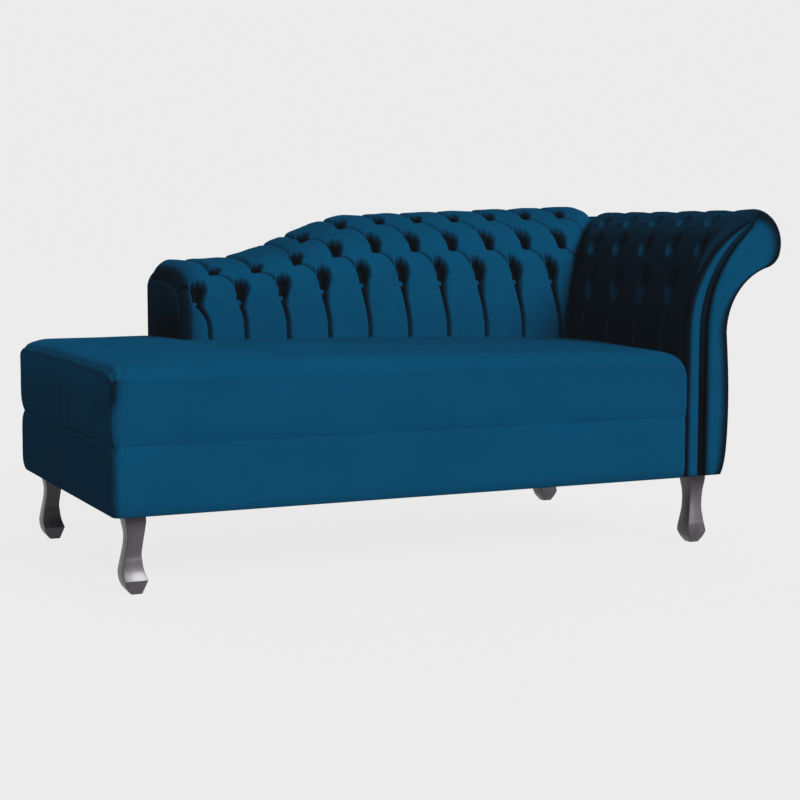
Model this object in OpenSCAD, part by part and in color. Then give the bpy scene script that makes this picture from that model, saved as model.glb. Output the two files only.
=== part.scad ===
// Fainting couch: a long seat with one scrolled arm, and a deep-buttoned back that steps up to meet it.
// X runs from the open end to the arm, Y from the front to the rear, Z up from the floor.
// The origin is on the floor, under the middle of the overall length and depth.

/* [Overall] */
// Length from the open end to the tip of the scroll
couch_l = 1600; // [1480:5:1760]
// Depth from the front face to the rear face
couch_d = 800; // [740:5:860]
// Gap between a stuffed piece and what it seats on
seat_gap = 0.3; // [0.2:0.1:0.6]

/* [Base] */
// Height of the legs, from the floor to the underside of the base
leg_h = 161; // [120:1:200]
// Width of a leg at its square top
leg_w = 44; // [36:1:52]
// Distance of a leg's centre from the end of the base
leg_end_inset = 58; // [50:1:90]
// Distance of a leg's centre from the front and rear of the base
leg_side_inset = 62; // [56:1:90]
// Height of the base, from its underside to the seat seam
base_h = 140; // [120:1:165]
// Thickness of the base rails
rail_t = 25; // [18:1:32]
// Thickness of the padded border round the base
border_t = 12; // [8:1:18]
// Number of rails across the base
cross_rail_n = 3; // [2:1:5]
// Width of a corner block, with the leg bolt through it
block_w = 70; // [60:1:80]
// Height of a corner block
block_h = 60; // [45:1:90]
// Thickness of the plywood boards in the arm and back
board_t = 18; // [12:1:22]
// Diameter of the frame bolts
bolt_d = 8; // [6:1:10]
// Length of a leg bolt, half of it in the leg
leg_bolt_l = 70; // [50:1:84]

/* [Seat] */
// Height of the seat edge above the seat seam
seat_edge_h = 150; // [120:1:175]
// Rise of the crown in the middle of the seat above its edge
seat_crown = 18; // [8:1:28]
// Radius of the soft front edge
seat_nose_r = 46; // [30:1:60]
// Fall of the seat towards the arm
seat_fall = 20; // [0:1:30]
// Depth that the sides draw in along their seams
seat_draw = 7; // [3:1:10]
// Thickness of the cover and its wadding over the foam
seat_wrap_t = 20; // [14:1:26]
// Width of the elastic webbing
web_w = 60; // [40:5:70]
// Thickness of one layer of webbing
web_t = 2; // [1.5:0.5:3]
// Number of straps from front to rear
web_cross_n = 9; // [6:1:11]
// Number of straps along the seat
web_long_n = 4; // [3:1:5]

/* [Back] */
// Length of seat left open beyond the back
back_setback = 315; // [260:5:380]
// Depth of the back from its face to the rear
back_t = 276; // [240:1:300]
// Height above the seat seam where the back and arm start to roll outwards
roll_start_h = 187; // [170:1:210]
// Height of the back above the seat seam at its open end
back_low_h = 349; // [320:1:370]
// Height of the back's ridge above the crest of the arm, where they meet
ridge_lead = 12; // [4:1:20]
// Distance from the open end of the back to the foot of its step
step_start = 120; // [80:5:180]
// Length over which the back steps up
step_l = 400; // [300:10:480]
// Thickness of the back's stuffing
back_pad_t = 52; // [46:1:60]
// Distance between buttons in one row of the back
back_pitch = 105; // [95:1:115]
// Distance of the first button from the open end of the back
back_first = 35; // [28:1:50]
// Depth of a button below the crown of its diamond
tuft_depth = 32; // [20:1:36]
// Diameter of a covered button
button_d = 15; // [13:1:18]
// Length of a covered button with its gathered shank
button_t = 15; // [13:1:18]

/* [Arm] */
// Width of the arm from its inner face to the tip of the scroll
arm_reach = 267; // [250:1:285]
// Radius of the rolled inner face
roll_r = 273; // [260:1:290]
// Radius of the hollow under the scroll
neck_r = 154; // [140:1:165]
// Radius of the scroll's head
head_r = 80; // [70:1:88]
// Height of the middle of the head above the start of the roll
head_rise = 202; // [190:1:214]
// Thickness of the arm's stuffing
arm_pad_t = 42; // [38:1:46]
// Distance between buttons in one row of the arm
arm_pitch = 116; // [104:1:124]
// Distance of the first button from the front of the arm
arm_first = 97; // [85:1:115]
// Width of the smooth band along the arm's inner edge
band_w = 39; // [30:1:45]
// Width of the groove between the band and the facing
groove_w = 19; // [10:1:24]
// Thickness of the stuffed band and facing on the arm's front
facing_t = 15; // [10:1:20]
// Distance of the facing's edge from the outer side of the arm
rim_w = 5; // [3:1:12]

/* [Hidden] */

// Colours of the pieces
velvet = [0.055, 0.28, 0.41];
velvet_dark = [0.05, 0.16, 0.23];
leg_finish = [0.36, 0.34, 0.37];
pine = [0.80, 0.66, 0.45];
plywood = [0.74, 0.58, 0.38];
foam = [0.93, 0.89, 0.70];
cloth_black = [0.12, 0.12, 0.13];
webbing = [0.78, 0.76, 0.70];
steel = [0.62, 0.63, 0.65];

// Small sizes shared by several pieces
cloth_t = 1;
cover_t = 3;
overrun = 1;
pile_step = 1;
corner_round = 2 * border_t;
end_edge_r = 48;
mitre_fold_w = 40;
mitre_fold_depth = 20;

// Levels
base_z = leg_h;
frame_z = base_z + cloth_t;
seam_z = base_z + base_h;
rail_top_z = seam_z - cloth_t - 2 * web_t;
roll_z = seam_z + roll_start_h;
pad_foot_z = seam_z + seat_gap;

// Places along the couch
open_x = -couch_l / 2;
tip_x = couch_l / 2;
front_y = -couch_d / 2;
rear_y = couch_d / 2;
arm_x = tip_x - arm_reach;
roll_x = arm_x + roll_r;
head_x = tip_x - head_r;
head_z = roll_z + head_rise;
back_high_z = head_z + head_r + ridge_lead;
arm_out_x = roll_x - neck_r;
back_x = open_x + back_setback;
end_cover_t = border_t;
back_in_x = back_x + end_cover_t;
back_y = rear_y - back_t;
spine_y = rear_y - cover_t;
back_reach = spine_y - back_y;
mitre_off = arm_x - back_y;
facing_y = front_y + facing_t;
board_front_y = facing_y + cover_t;
box_x0 = open_x + border_t;
box_y0 = front_y + border_t;
box_y1 = rear_y - border_t;
board_out = cover_t + seat_gap;

// The crest of the arm, where the tufted face meets the outer roll of the scroll
crest_dx = roll_x - head_x;
crest_dz = head_z + head_r - roll_z;
crest_r = norm([crest_dx, crest_dz]);
crest_a = atan2(crest_dz, crest_dx);
crest_lift = crest_r - roll_r;
// The face swells from the plain roll to the crest between these shares of a right angle
lift_from_share = 0.22;
lift_to_share = 0.66;

// Turns of the rows of buttons round the roll, as shares of a right angle, for the start of the
// roll, the three rows, and the far edge
low_row_share = [[0, 0], [1, 0.145], [2, 0.50], [3, 0.75], [4, 1]];
high_row_share = [[0, 0], [1, 0.24], [2, 0.455], [3, 0.745], [4, 1]];
arm_row_share = [[0, 0], [1, 0.18], [2, 0.43], [3, 0.65], [4, crest_a / 90]];
// Part of the back's whole rise that is taken up by the step
step_share = 0.71;
// Height of a pleat's floor, as a share of the tuft depth
pleat_share = 0.42;
hem_share = 0.55;
crown_power_share = 0.55;
// The folds lean over, so that one flank of each diamond is steep and the other falls away slowly
fold_lean_share = 1.6;
// The pleats fade in from the seam up to this share of the upright face, which the seat hides
hidden_share = 0.88;

// Rows of the stuffed surfaces, counted in rows of buttons from the start of the roll
third = 1 / 3;
back_rows = [-1, -0.12, 0.3, 0.65, 1, 1 + third, 2 - third, 2, 2 + third, 3 - third, 3, 3 + third,
    4 - third, 4];
arm_rows = [-1, -0.12, 0.3, 0.65, 1, 1 + third, 2 - third, 2, 2 + third, 3 - third, 3, 3.5, 4];
tuft_cells = 6;
inner_ratio = 4;

// Shared functions

function mix(a, b, t) = a + (b - a) * t;
function clamp01(t) = min(1, max(0, t));
function smooth(t) = let (c = clamp01(t)) c * c * (3 - 2 * c);
function frac(t) = t - floor(t);

// Points on a circle's arc, in the plane of a profile
function arc(cx, cz, r, a0, a1, n) =
    [for (i = [0 : n]) let (a = mix(a0, a1, i / n)) [cx + r * cos(a), cz + r * sin(a)]];

// A smooth curve through points, with n steps between each pair
function through(p, n) = let (last = len(p) - 1) concat(
    [for (i = [0 : last - 1], k = [0 : n - 1])
        let (a = p[max(i - 1, 0)], b = p[i], c = p[i + 1], d = p[min(i + 2, last)], t = k / n)
            b + (c - a) * t / 2 + (2 * a - 5 * b + 4 * c - d) * t * t / 2
                + (3 * b - a - 3 * c + d) * t * t * t / 2],
    [p[last]]);

// Two triangles for each cell of a grid, with the shared edge along the button to button pleats
function grid_faces(rows, cols, first = 0, flip = false, span_r = 1, span_c = 1, lag_r = 0, lag_c = 0) = [
    for (r = [0 : rows - 2], c = [0 : cols - 2])
        let (a = first + r * cols + c, b = a + 1, d = a + cols, e = d + 1,
            odd = (floor((r - lag_r) / span_r) + floor((c - lag_c) / span_c)) % 2 != 0,
            two = odd ? [[a, b, d], [b, e, d]] : [[a, b, e], [a, e, d]])
        for (t = two) flip ? [t[2], t[1], t[0]] : t
];

// Faces that join a fine row of points to a coarse row, where each coarse step spans k fine steps
function fan_faces(fine, coarse, k, flip) = [
    for (j = [0 : len(coarse) - 2])
        for (t = concat([[coarse[j], coarse[j + 1], fine[k * j]]],
            [for (i = [0 : k - 1]) [coarse[j + 1], fine[k * j + i + 1], fine[k * j + i]]]))
        flip ? [t[2], t[1], t[0]] : t
];

// A stuffed skin: a fine outer grid, a coarse inner grid, and the four edges between them
module stuffed_skin(outer, inner, k, span_r, lag_r, lag_c) {
    rows = len(outer);
    cols = len(outer[0]);
    in_cols = len(inner[0]);
    start = rows * cols;
    points = concat([for (row = outer) each row], [for (row = inner) each row]);
    function at(r, c) = r * cols + c;
    function in_at(r, c) = start + r * in_cols + c;
    first_fine = [for (c = [0 : cols - 1]) at(0, c)];
    last_fine = [for (c = [0 : cols - 1]) at(rows - 1, c)];
    first_coarse = [for (c = [0 : in_cols - 1]) in_at(0, c)];
    last_coarse = [for (c = [0 : in_cols - 1]) in_at(rows - 1, c)];
    ends = [for (r = [0 : rows - 2]) each [
        [in_at(r + 1, 0), at(r + 1, 0), at(r, 0)], [in_at(r, 0), in_at(r + 1, 0), at(r, 0)],
        [in_at(r, in_cols - 1), at(r, cols - 1), at(r + 1, cols - 1)],
        [in_at(r + 1, in_cols - 1), in_at(r, in_cols - 1), at(r + 1, cols - 1)]]];
    polyhedron(points, concat(
        grid_faces(rows, cols, 0, true, span_r, tuft_cells / 2, lag_r, lag_c),
        grid_faces(rows, in_cols, start, false),
        fan_faces(first_fine, first_coarse, k, true),
        fan_faces(last_fine, last_coarse, k, false),
        ends), convexity = 8);
}

// Depth of the stuffing at a place given in pitches along a row and in rows, as a share of the
// tuft depth. The pleats run straight below the first row of buttons and above the last, and from
// button to button between them.
function tuft_share(s, v, last_row) =
    let (t = (min(max(v, 1), last_row) - 1) / 2,
        left = min(frac(s - t), frac(s + t)),
        right = min(frac(t - s), frac(-t - s)),
        w = left + right,
        lean = w > 0 ? pow(left / w, fold_lean_share) : 0,
        dome = pow(4 * w * lean * (1 - lean), crown_power_share),
        pleat = v < 1 ? hem_share * smooth(1 - v) : v > last_row ? hem_share * smooth(v - last_row)
            : pleat_share * pow(sin(180 * (v - 1)), 2))
    (1 - pleat) * (1 - dome);

// Rounds a stuffed edge over, at a distance d from it
function edge_round(d, r) = let (q = clamp01(1 - d / r)) r * (1 - sqrt(1 - q * q));
function fold_in(d) = mitre_fold_depth * pow(clamp01(1 - d / mitre_fold_w), 2);

// Shape of the back

function step_at(x) = smooth((x - back_x - step_start) / step_l);
back_end_x = head_x;
function ridge_z(x) = mix(seam_z + back_low_h, back_high_z, step_share * step_at(x)
    + (1 - step_share) * clamp01((x - back_x) / (back_end_x - back_x)));
function back_power(x) = (back_high_z - roll_z) / (ridge_z(x) - roll_z);
function back_turn(x, v) = 90 * mix(lookup(v, low_row_share), lookup(v, high_row_share), step_at(x));

// A place on the back, a given depth under its smooth outer skin
function back_place(x, v, inset) =
    let (a = back_turn(x, v), p = 1 / back_power(x))
    v < 0 ? [x, spine_y - (back_reach - inset), mix(pad_foot_z, roll_z, v + 1)]
        : [x, spine_y - (back_reach - inset) * pow(cos(a), p),
            roll_z + (ridge_z(x) - roll_z - inset) * pow(sin(a), p)];
function back_mitre_x(v, inset) =
    let (reach = spine_y - (back_reach - inset) * cos(back_turn(back_end_x, max(v, 0))))
    min(reach + mitre_off, back_end_x) - seat_gap;

// The top row of buttons starts where the back steps up
last_low_x = back_x + back_first + 2.5 * back_pitch;
function back_last_row(x) = x > last_low_x ? 3 : 2;
function back_button_x(row, i) = back_x + back_first + (i + (row == 2 ? 0.5 : 0)) * back_pitch;

back_cell = back_pitch / tuft_cells;
back_cols = 4 * ceil((back_end_x - back_x - back_first) / back_cell / 4 + 0.25);
function back_col_x(c, v, inset) = c == 0 ? back_in_x + seat_gap
    : min(back_x + back_first + (c - 1) * back_cell, back_mitre_x(v, inset) - (back_cols - c) * pile_step);
function back_inset(x, v) =
    let (hidden = clamp01((v + 1) / hidden_share),
        s = (x - back_x - back_first) / back_pitch,
        ends = edge_round(x - back_in_x, end_edge_r) + fold_in(back_mitre_x(v, 0) - x))
    min(back_pad_t - cover_t, hidden * tuft_depth * tuft_share(s, v, back_last_row(x)) + ends);

module back_pad() {
    outer = [for (v = back_rows) [for (c = [0 : back_cols])
        let (x = back_col_x(c, v, 0)) back_place(x, v, back_inset(x, v))]];
    inner = [for (v = back_rows) [for (c = [0 : inner_ratio : back_cols])
        back_place(back_col_x(c, v, back_pad_t), v, back_pad_t)]];
    color(velvet) stuffed_skin(outer, inner, inner_ratio, 3, 4, 1);
}

// A covered button: a domed cap on a cone of gathered cloth that sits in the pit of the tuft
cap_share = 0.2;
shank_share = 0.15;
// Clear height of a button's shank over the point of its pit
button_lift = 4 * seat_gap;
// Radii of the rings that shape the cap, as shares of the rim
cap_ring_share = [0.7, 0.35];
module covered_button() {
    cap_h = button_t * cap_share;
    cone_h = button_t - cap_h;
    rim_r = button_d / 2;
    cap_r = (rim_r * rim_r + cap_h * cap_h) / (2 * cap_h);
    rise = function (r) cone_h + cap_h - cap_r + sqrt(cap_r * cap_r - r * r);
    rotate_extrude($fn = 32) polygon([[0, 0], [rim_r * shank_share, 0], [rim_r, cone_h],
        for (s = cap_ring_share) [rim_r * s, rise(rim_r * s)], [0, button_t]]);
}

// Turns a piece modelled along +Z so that it points along a direction, and moves it to a place
module aim(place, direction) {
    translate(place) rotate([0, acos(direction[2] / norm(direction)), atan2(direction[1], direction[0])])
        children();
}

module back_buttons() {
    color(velvet_dark) for (row = [1 : 3], i = [0 : back_cols])
        let (x = back_button_x(row, i), pit = back_place(x, row, back_inset(x, row)),
            face = back_place(x, row, 0))
        if (x > back_in_x + back_first / 2 && x < back_mitre_x(row, 0) - mitre_fold_w / 2
                && row <= back_last_row(x))
            aim(pit + (face - pit) / norm(face - pit) * button_lift, face - pit) covered_button();
}

// Outline of the back's frame at one place along it, a given depth under the skin
function back_section(x, depth) = [for (v = back_rows) if (v >= 0)
    let (p = back_place(x, v, depth)) [min(p[1], box_y1), p[2]]];

// Stands a profile drawn in Y and Z up across the couch
module across(x, t) { translate([x, 0, 0]) rotate([90, 0, 90]) linear_extrude(t) children(); }
// Stands a profile drawn in X and Z up along the couch, from y towards the rear
module along(y, t) { translate([0, y + t, 0]) rotate([90, 0, 0]) linear_extrude(t) children(); }

rib_relief = 1;
rail_relief = 6;
sill_t = board_t;
rib_foot_z = seam_z + sill_t;
front_board_t = 5;
ridge_rail_h = 34;
ridge_rail_w = 34;
rib_cols = [0, 4, 16, 28, 40, 52];
rib_face_y = back_y + back_pad_t + seat_gap + front_board_t;

module ridge_rail_shape(slack) {
    xs = [for (i = [0 : 40]) mix(back_in_x + slack, arm_x - slack, i / 40)];
    under = back_pad_t + rail_relief;
    polygon(concat(
        [for (x = xs) [x, ridge_z(x) - under]],
        [for (i = [len(xs) - 1 : -1 : 0]) [xs[i], ridge_z(xs[i]) - under - ridge_rail_h]]));
}
module back_ridge_rail() {
    color(plywood) along(box_y1 - ridge_rail_w, ridge_rail_w) ridge_rail_shape(board_t);
}
module back_ribs() {
    color(plywood) difference() {
        for (c = rib_cols) let (x = c == 0 ? back_in_x : back_col_x(c, 0, 0) - board_t / 2)
            across(x, board_t) polygon(concat(
                [[rib_face_y, rib_foot_z]],
                [[rib_face_y, roll_z]],
                [for (p = back_section(x, back_pad_t + rib_relief)) if (p[0] > rib_face_y) p],
                [[box_y1, rib_foot_z]]));
        along(box_y1 - ridge_rail_w, ridge_rail_w + overrun) ridge_rail_shape(board_t);
    }
}
module back_sill() {
    color(pine) difference() {
        translate([back_in_x, rib_face_y - front_board_t, seam_z])
            cube([arm_x - back_in_x, box_y1 - rib_face_y + front_board_t, sill_t]);
        back_screw_holes(seam_z - overrun, sill_t + 2 * overrun);
    }
}
module back_front_board() {
    color(plywood) translate([back_in_x, rib_face_y - front_board_t, rib_foot_z])
        cube([arm_x - back_in_x, front_board_t, mix(seam_z, roll_z, hidden_share) - rib_foot_z]);
}
// Outline of the whole rear: the back from x0 on, with its first corner rounded to a radius, then
// round the scroll and down the outer side
function rear_outline(x0, round_r, under, head_in, outer, foot_z) =
    let (head = head_r - head_in, neck = neck_r + outer)
    concat(
        [[x0, foot_z]],
        [for (i = [0 : (round_r > 0 ? 8 : 0)]) let (d = round_r * pow(i / 8, 2))
            [x0 + d, ridge_z(x0 + d) - under - (round_r > 0 ? edge_round(d, round_r) : 0)]],
        [for (i = [1 : 40]) let (x = mix(x0 + round_r, back_end_x, i / 40)) [x, ridge_z(x) - under]],
        head_arc(head, neck),
        arc(roll_x, roll_z, neck, kink_neck_a(head, neck), 180, 14),
        [for (i = [13 : -1 : 0]) side_line(outer, foot_z, 14)[i]]);
module back_rear_board() {
    color(plywood) along(box_y1, border_t - cover_t)
        polygon(rear_outline(back_in_x, 0, back_pad_t + rail_relief, arm_pad_t, board_out, frame_z));
}
module back_outside_cover() {
    color(velvet) along(spine_y, cover_t)
        polygon(rear_outline(back_x, end_edge_r, tuft_depth * hem_share, 0, 0, base_z));
}
// The end is a padded panel that carries on the roundness of the stuffing
end_edge_share = 0.75;
end_levels = [0, 0.5, 1, 1.5, 2, 2.4, 2.8, 3.2, 3.6, 4];
module back_end_cover() {
    soft = end_cover_t / 2;
    function outline(d) = concat(
        [[spine_y, pad_foot_z], [back_y + seat_gap + d, pad_foot_z]],
        [for (v = end_levels) let (p = back_place(back_in_x, v, d)) [min(p[1], spine_y), p[2]]]);
    color(velvet) hull() {
        across(back_in_x - soft, soft) polygon(outline(end_edge_r * end_edge_share));
        across(back_x, soft) polygon(outline(end_edge_r));
    }
}

// Shape of the arm

function lift_at(a) = crest_lift * smooth((a / 90 - lift_from_share) / (lift_to_share - lift_from_share));
function arm_turn(v) = 90 * lookup(v, arm_row_share);
function arm_place(y, v, inset) =
    let (a = arm_turn(v), r = roll_r + lift_at(a) - inset)
    v < 0 ? [arm_x + inset, y, mix(pad_foot_z, roll_z, v + 1)]
        : [roll_x - r * cos(a), y, roll_z + r * sin(a)];
function arm_mitre_y(v, inset) = arm_place(0, v, inset)[0] - mitre_off - seat_gap;

arm_cell = arm_pitch / tuft_cells;
arm_cols = 4 * ceil((head_x - mitre_off - front_y - arm_first) / arm_cell / 4 + 1.25);
arm_lead_n = 4;
function arm_col_y(c, v, inset) = c == 0 ? board_front_y + seat_gap
    : min(front_y + arm_first + (c - arm_lead_n) * arm_cell,
        arm_mitre_y(v, inset) - (arm_cols - c) * pile_step);
function arm_inset(y, v) =
    let (hidden = clamp01((v + 1) / hidden_share), s = (y - front_y - arm_first) / arm_pitch,
        plain = smooth((y - board_front_y) / mitre_fold_w))
    min(arm_pad_t - cover_t, hidden * plain * tuft_depth * tuft_share(s, v, 3)
        + fold_in(arm_mitre_y(v, 0) - y));

module arm_pad() {
    outer = [for (v = arm_rows) [for (c = [0 : arm_cols])
        let (y = arm_col_y(c, v, 0)) arm_place(y, v, arm_inset(y, v))]];
    inner = [for (v = arm_rows) [for (c = [0 : inner_ratio : arm_cols])
        arm_place(arm_col_y(c, v, arm_pad_t), v, arm_pad_t)]];
    mirrored = [for (row = outer) [for (c = [len(row) - 1 : -1 : 0]) row[c]]];
    mirrored_in = [for (row = inner) [for (c = [len(row) - 1 : -1 : 0]) row[c]]];
    color(velvet_dark) stuffed_skin(mirrored, mirrored_in, inner_ratio, 3, 4, arm_cols - arm_lead_n);
}
module arm_buttons() {
    color(velvet) for (row = [1 : 3], i = [0 : arm_cols])
        let (y = front_y + arm_first + (i + (row == 2 ? 0.5 : 0)) * arm_pitch,
            pit = arm_place(y, row, arm_inset(y, row)), face = arm_place(y, row, 0))
        if (y < arm_mitre_y(row, 0) - mitre_fold_w / 2)
            aim(pit + (face - pit) / norm(face - pit) * button_lift, face - pit) covered_button();
}

// The outer side of the arm, from the foot up to the neck: a slight belly above a drawn-in foot
belly = 8;
foot_in = 11;
foot_power_share = 14;
function side_x(t) = arm_out_x + belly * sin(180 * t) - foot_in * pow(1 - t, foot_power_share);
function side_line(inset, z0, n) =
    [for (i = [0 : n]) let (t = i / n) [side_x(t) - inset, mix(z0, roll_z, t)]];

// Angle on the head's circle where it runs into the hollow of the neck
neck_gap = norm([roll_x - head_x, roll_z - head_z]);
function kink_a(head, neck) = atan2(roll_z - head_z, roll_x - head_x)
    + acos(min(1, (head * head + neck_gap * neck_gap - neck * neck) / (2 * head * neck_gap)));
// Angle on the neck's circle of the same place
function kink_neck_a(head, neck) = let (a = kink_a(head, neck))
    atan2(head_z + head * sin(a) - roll_z, head_x + head * cos(a) - roll_x);

// Angles on the head's circle, just past its top, where its outer side starts: for the cover, for
// the facing and for the boards
cover_top_angle = 85;
facing_top_angle = 80;
board_top_angle = 75;
function head_arc(head, neck) =
    arc(head_x, head_z, head, head < head_r ? board_top_angle : cover_top_angle, kink_a(head, neck), 16);

// Closed outline of the arm's section, a given depth under its skin on the inner face, round the
// head and on the outer side
function arm_outline(inner, head_in, outer, foot_z) = let (head = head_r - head_in, neck = neck_r + outer)
    concat(
        [[arm_x + inner, foot_z]],
        [for (i = [0 : 18]) let (a = mix(0, crest_a, i / 18), r = roll_r + lift_at(a) - inner)
            [roll_x - r * cos(a), roll_z + r * sin(a)]],
        head_arc(head, neck),
        arc(roll_x, roll_z, neck, kink_neck_a(head, neck), 180, 14),
        [for (i = [13 : -1 : 0]) side_line(outer, foot_z, 14)[i]]);

module arm_board_shape() {
    lap = arm_pad_t + rib_relief;
    outline = arm_outline(lap, arm_pad_t, board_out, frame_z);
    // Below the seat the board is wider, and stands against the base
    polygon(concat([[arm_x, frame_z], [arm_x, seam_z], [arm_x + lap, seam_z]],
        [for (i = [1 : len(outline) - 1]) outline[i]]));
}
module arm_front_board() { color(plywood) along(board_front_y, board_t) arm_board_shape(); }
module arm_middle_board() { color(plywood) along(-board_t / 2, board_t) arm_board_shape(); }
module arm_rear_board() { color(plywood) along(box_y1 - board_t, board_t) arm_board_shape(); }

batten_w = 28;
arm_batten_places = [
    [arm_x + arm_pad_t + rib_relief + batten_w, seam_z + batten_w],
    [arm_x + arm_pad_t + rib_relief + batten_w, roll_z],
    [head_x, head_z]
];
module arm_rails() {
    first_y = board_front_y + board_t;
    span = -board_t / 2 - first_y;
    span_2 = box_y1 - board_t - board_t / 2;
    color(pine) for (p = arm_batten_places) {
        translate([p[0] - batten_w / 2, first_y, p[1] - batten_w / 2]) cube([batten_w, span, batten_w]);
        translate([p[0] - batten_w / 2, board_t / 2, p[1] - batten_w / 2])
            cube([batten_w, span_2, batten_w]);
    }
}
module arm_side_rail() {
    first_y = board_front_y + board_t;
    span = -board_t / 2 - first_y;
    color(pine) difference() {
        for (y = [first_y, board_t / 2])
            translate([arm_x, y, frame_z])
                cube([rail_t, y < 0 ? span : box_y1 - board_t - board_t / 2, rail_h]);
        bolt_holes(arm_bolt_places, arm_x - overrun, rail_t + 2 * overrun);
    }
}
module arm_roll_cover() {
    wedge = 2 * head_r;
    inner = head_r - arm_pad_t + seat_gap;
    a_end = kink_a(head_r, neck_r);
    color(velvet_dark) along(board_front_y, spine_y - board_front_y) difference() {
        translate([head_x, head_z]) circle(head_r, $fn = 96);
        translate([head_x, head_z]) circle(inner, $fn = 96);
        translate([roll_x, roll_z]) circle(neck_r + board_out, $fn = 160);
        polygon([
            [roll_x - wedge, roll_z],
            [roll_x, roll_z],
            [head_x + seat_gap, head_z + head_r],
            [head_x + seat_gap - crest_dx, head_z + head_r + crest_dz],
            [roll_x - 2 * wedge, head_z + head_r]]);
        polygon([
            [head_x, head_z],
            [head_x + wedge * cos(a_end), head_z + wedge * sin(a_end)],
            [head_x, head_z - wedge],
            [head_x - wedge, head_z]]);
    }
}
module arm_outside_cover() {
    a0 = kink_neck_a(head_r, neck_r);
    outer = concat(arc(roll_x, roll_z, neck_r, a0, 180, 16),
        [for (i = [13 : -1 : 0]) side_line(0, base_z, 14)[i]]);
    inner = concat([for (i = [0 : 13]) side_line(cover_t, base_z, 14)[i]],
        arc(roll_x, roll_z, neck_r + cover_t, 180, a0, 16));
    color(velvet) along(board_front_y, spine_y - board_front_y) polygon(concat(outer, inner));
}
module arm_front_cover() {
    color(velvet_dark) along(facing_y, cover_t) polygon(arm_outline(0, 0, 0, base_z));
}

// Front of the arm

// A line that climbs straight, then arcs over to a meeting point under the crest
eye_x = head_x;
eye_share = 0.87;
eye_z = roll_z + crest_r * eye_share;
// Size of the fold at the eye, where the band and the facing end
eye_fold = 20;
function scroll_line(inset, end, n) =
    let (x0 = arm_x + inset, dx = end[0] - x0, dz = end[1] - roll_z, r = (dx * dx + dz * dz) / (2 * dx),
        a_end = asin(dz / r))
    concat([for (i = [0 : n - 1]) [x0, mix(base_z, roll_z, i / n)]],
        [for (i = [0 : 2 * n]) let (a = a_end * i / (2 * n)) [x0 + r - r * cos(a), roll_z + r * sin(a)]]);

// A stuffed strip between two lines of points on the arm's front, domed towards the front
module domed_strip(a, b, y_back, bulge) {
    n = 8;
    rows = len(a);
    points = [for (r = [0 : rows - 1], c = [0 : n])
        let (t = c / n, p = mix(a[r], b[r], t), q = 2 * t - 1)
            [p[0], y_back - bulge * pow(max(0, 1 - pow(abs(q), 2.6)), 0.5), p[1]]];
    cols = n + 1;
    back = [for (r = [0 : rows - 2]) each [
        [r * cols, (r + 1) * cols, (r + 1) * cols + n],
        [r * cols, (r + 1) * cols + n, r * cols + n]]];
    caps = [for (c = [1 : n - 1]) each [
        [0, c + 1, c], [(rows - 1) * cols, (rows - 1) * cols + c, (rows - 1) * cols + c + 1]]];
    polyhedron(points, concat(
        [for (f = grid_faces(rows, cols, 0, false)) [f[2], f[1], f[0]]],
        [for (f = back) [f[2], f[1], f[0]]],
        [for (f = caps) [f[2], f[1], f[0]]]), convexity = 6);
}
module arm_front_band() {
    tip = [eye_x - eye_fold / 4, eye_z];
    color(velvet) domed_strip(scroll_line(0, tip, 8), scroll_line(band_w, [eye_x, eye_z - eye_fold / 4], 8),
        facing_y - seat_gap, facing_t - seat_gap);
}

// The facing's outer edge follows the arm's outline, drawn in by the rim, up to the eye
function facing_edge(n) =
    let (head = head_r - rim_w, neck = neck_r + rim_w,
        under = arc(roll_x, roll_z, neck, 180, kink_neck_a(head, neck), n),
        over = arc(head_x, head_z, head, kink_a(head, neck), facing_top_angle, n))
    concat(side_line(rim_w, base_z, n), [for (i = [1 : n]) under[i]], [for (i = [1 : n]) over[i]]);
module arm_front_facing() {
    n = 10;
    outer = facing_edge(n);
    inner = scroll_line(band_w + groove_w, [eye_x - eye_fold / 2, eye_z - eye_fold], n);
    color(velvet) domed_strip(inner, outer, facing_y - seat_gap, facing_t - seat_gap);
}

// Seat

seat_back_y = back_y - seat_gap;
seat_end_x = arm_x - seat_gap;
seat_notch_x = back_x - seat_gap;
seat_edge_z = seam_z + seat_edge_h;
// Grid lines crowd towards the rolled edges
nose_share = [0, 0.04, 0.16, 0.36, 0.64, 1];
seat_xs = concat(
    [for (s = nose_share) open_x + s * seat_nose_r],
    [for (i = [1 : 4]) mix(open_x + seat_nose_r, seat_notch_x, i / 4)],
    [for (i = [1 : 11]) mix(seat_notch_x, seat_end_x - 2 * seat_nose_r, i / 11)],
    [for (i = [4 : -1 : 0]) seat_end_x - 2 * seat_nose_r * nose_share[i]]);
seat_ys = concat(
    [for (s = nose_share) front_y + s * seat_nose_r],
    [for (i = [1 : 8]) mix(front_y + seat_nose_r, seat_back_y, i / 8)],
    [for (i = [1 : 2]) mix(seat_back_y, rear_y - seat_nose_r, i / 2)],
    [for (i = [4 : -1 : 0]) rear_y - seat_nose_r * nose_share[i]]);
notch_i = 9;
notch_j = 13;
// How far each rolled edge drops, as shares of its radius
nose_drop_share = 0.8;
tail_drop_share = 0.75;
end_drop_share = 0.5;
arm_drop_share = 0.25;
// The crown starts part of the way up its curve at each edge, so it is never flat there
crown_from_share = [0.06, 0.08];
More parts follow.
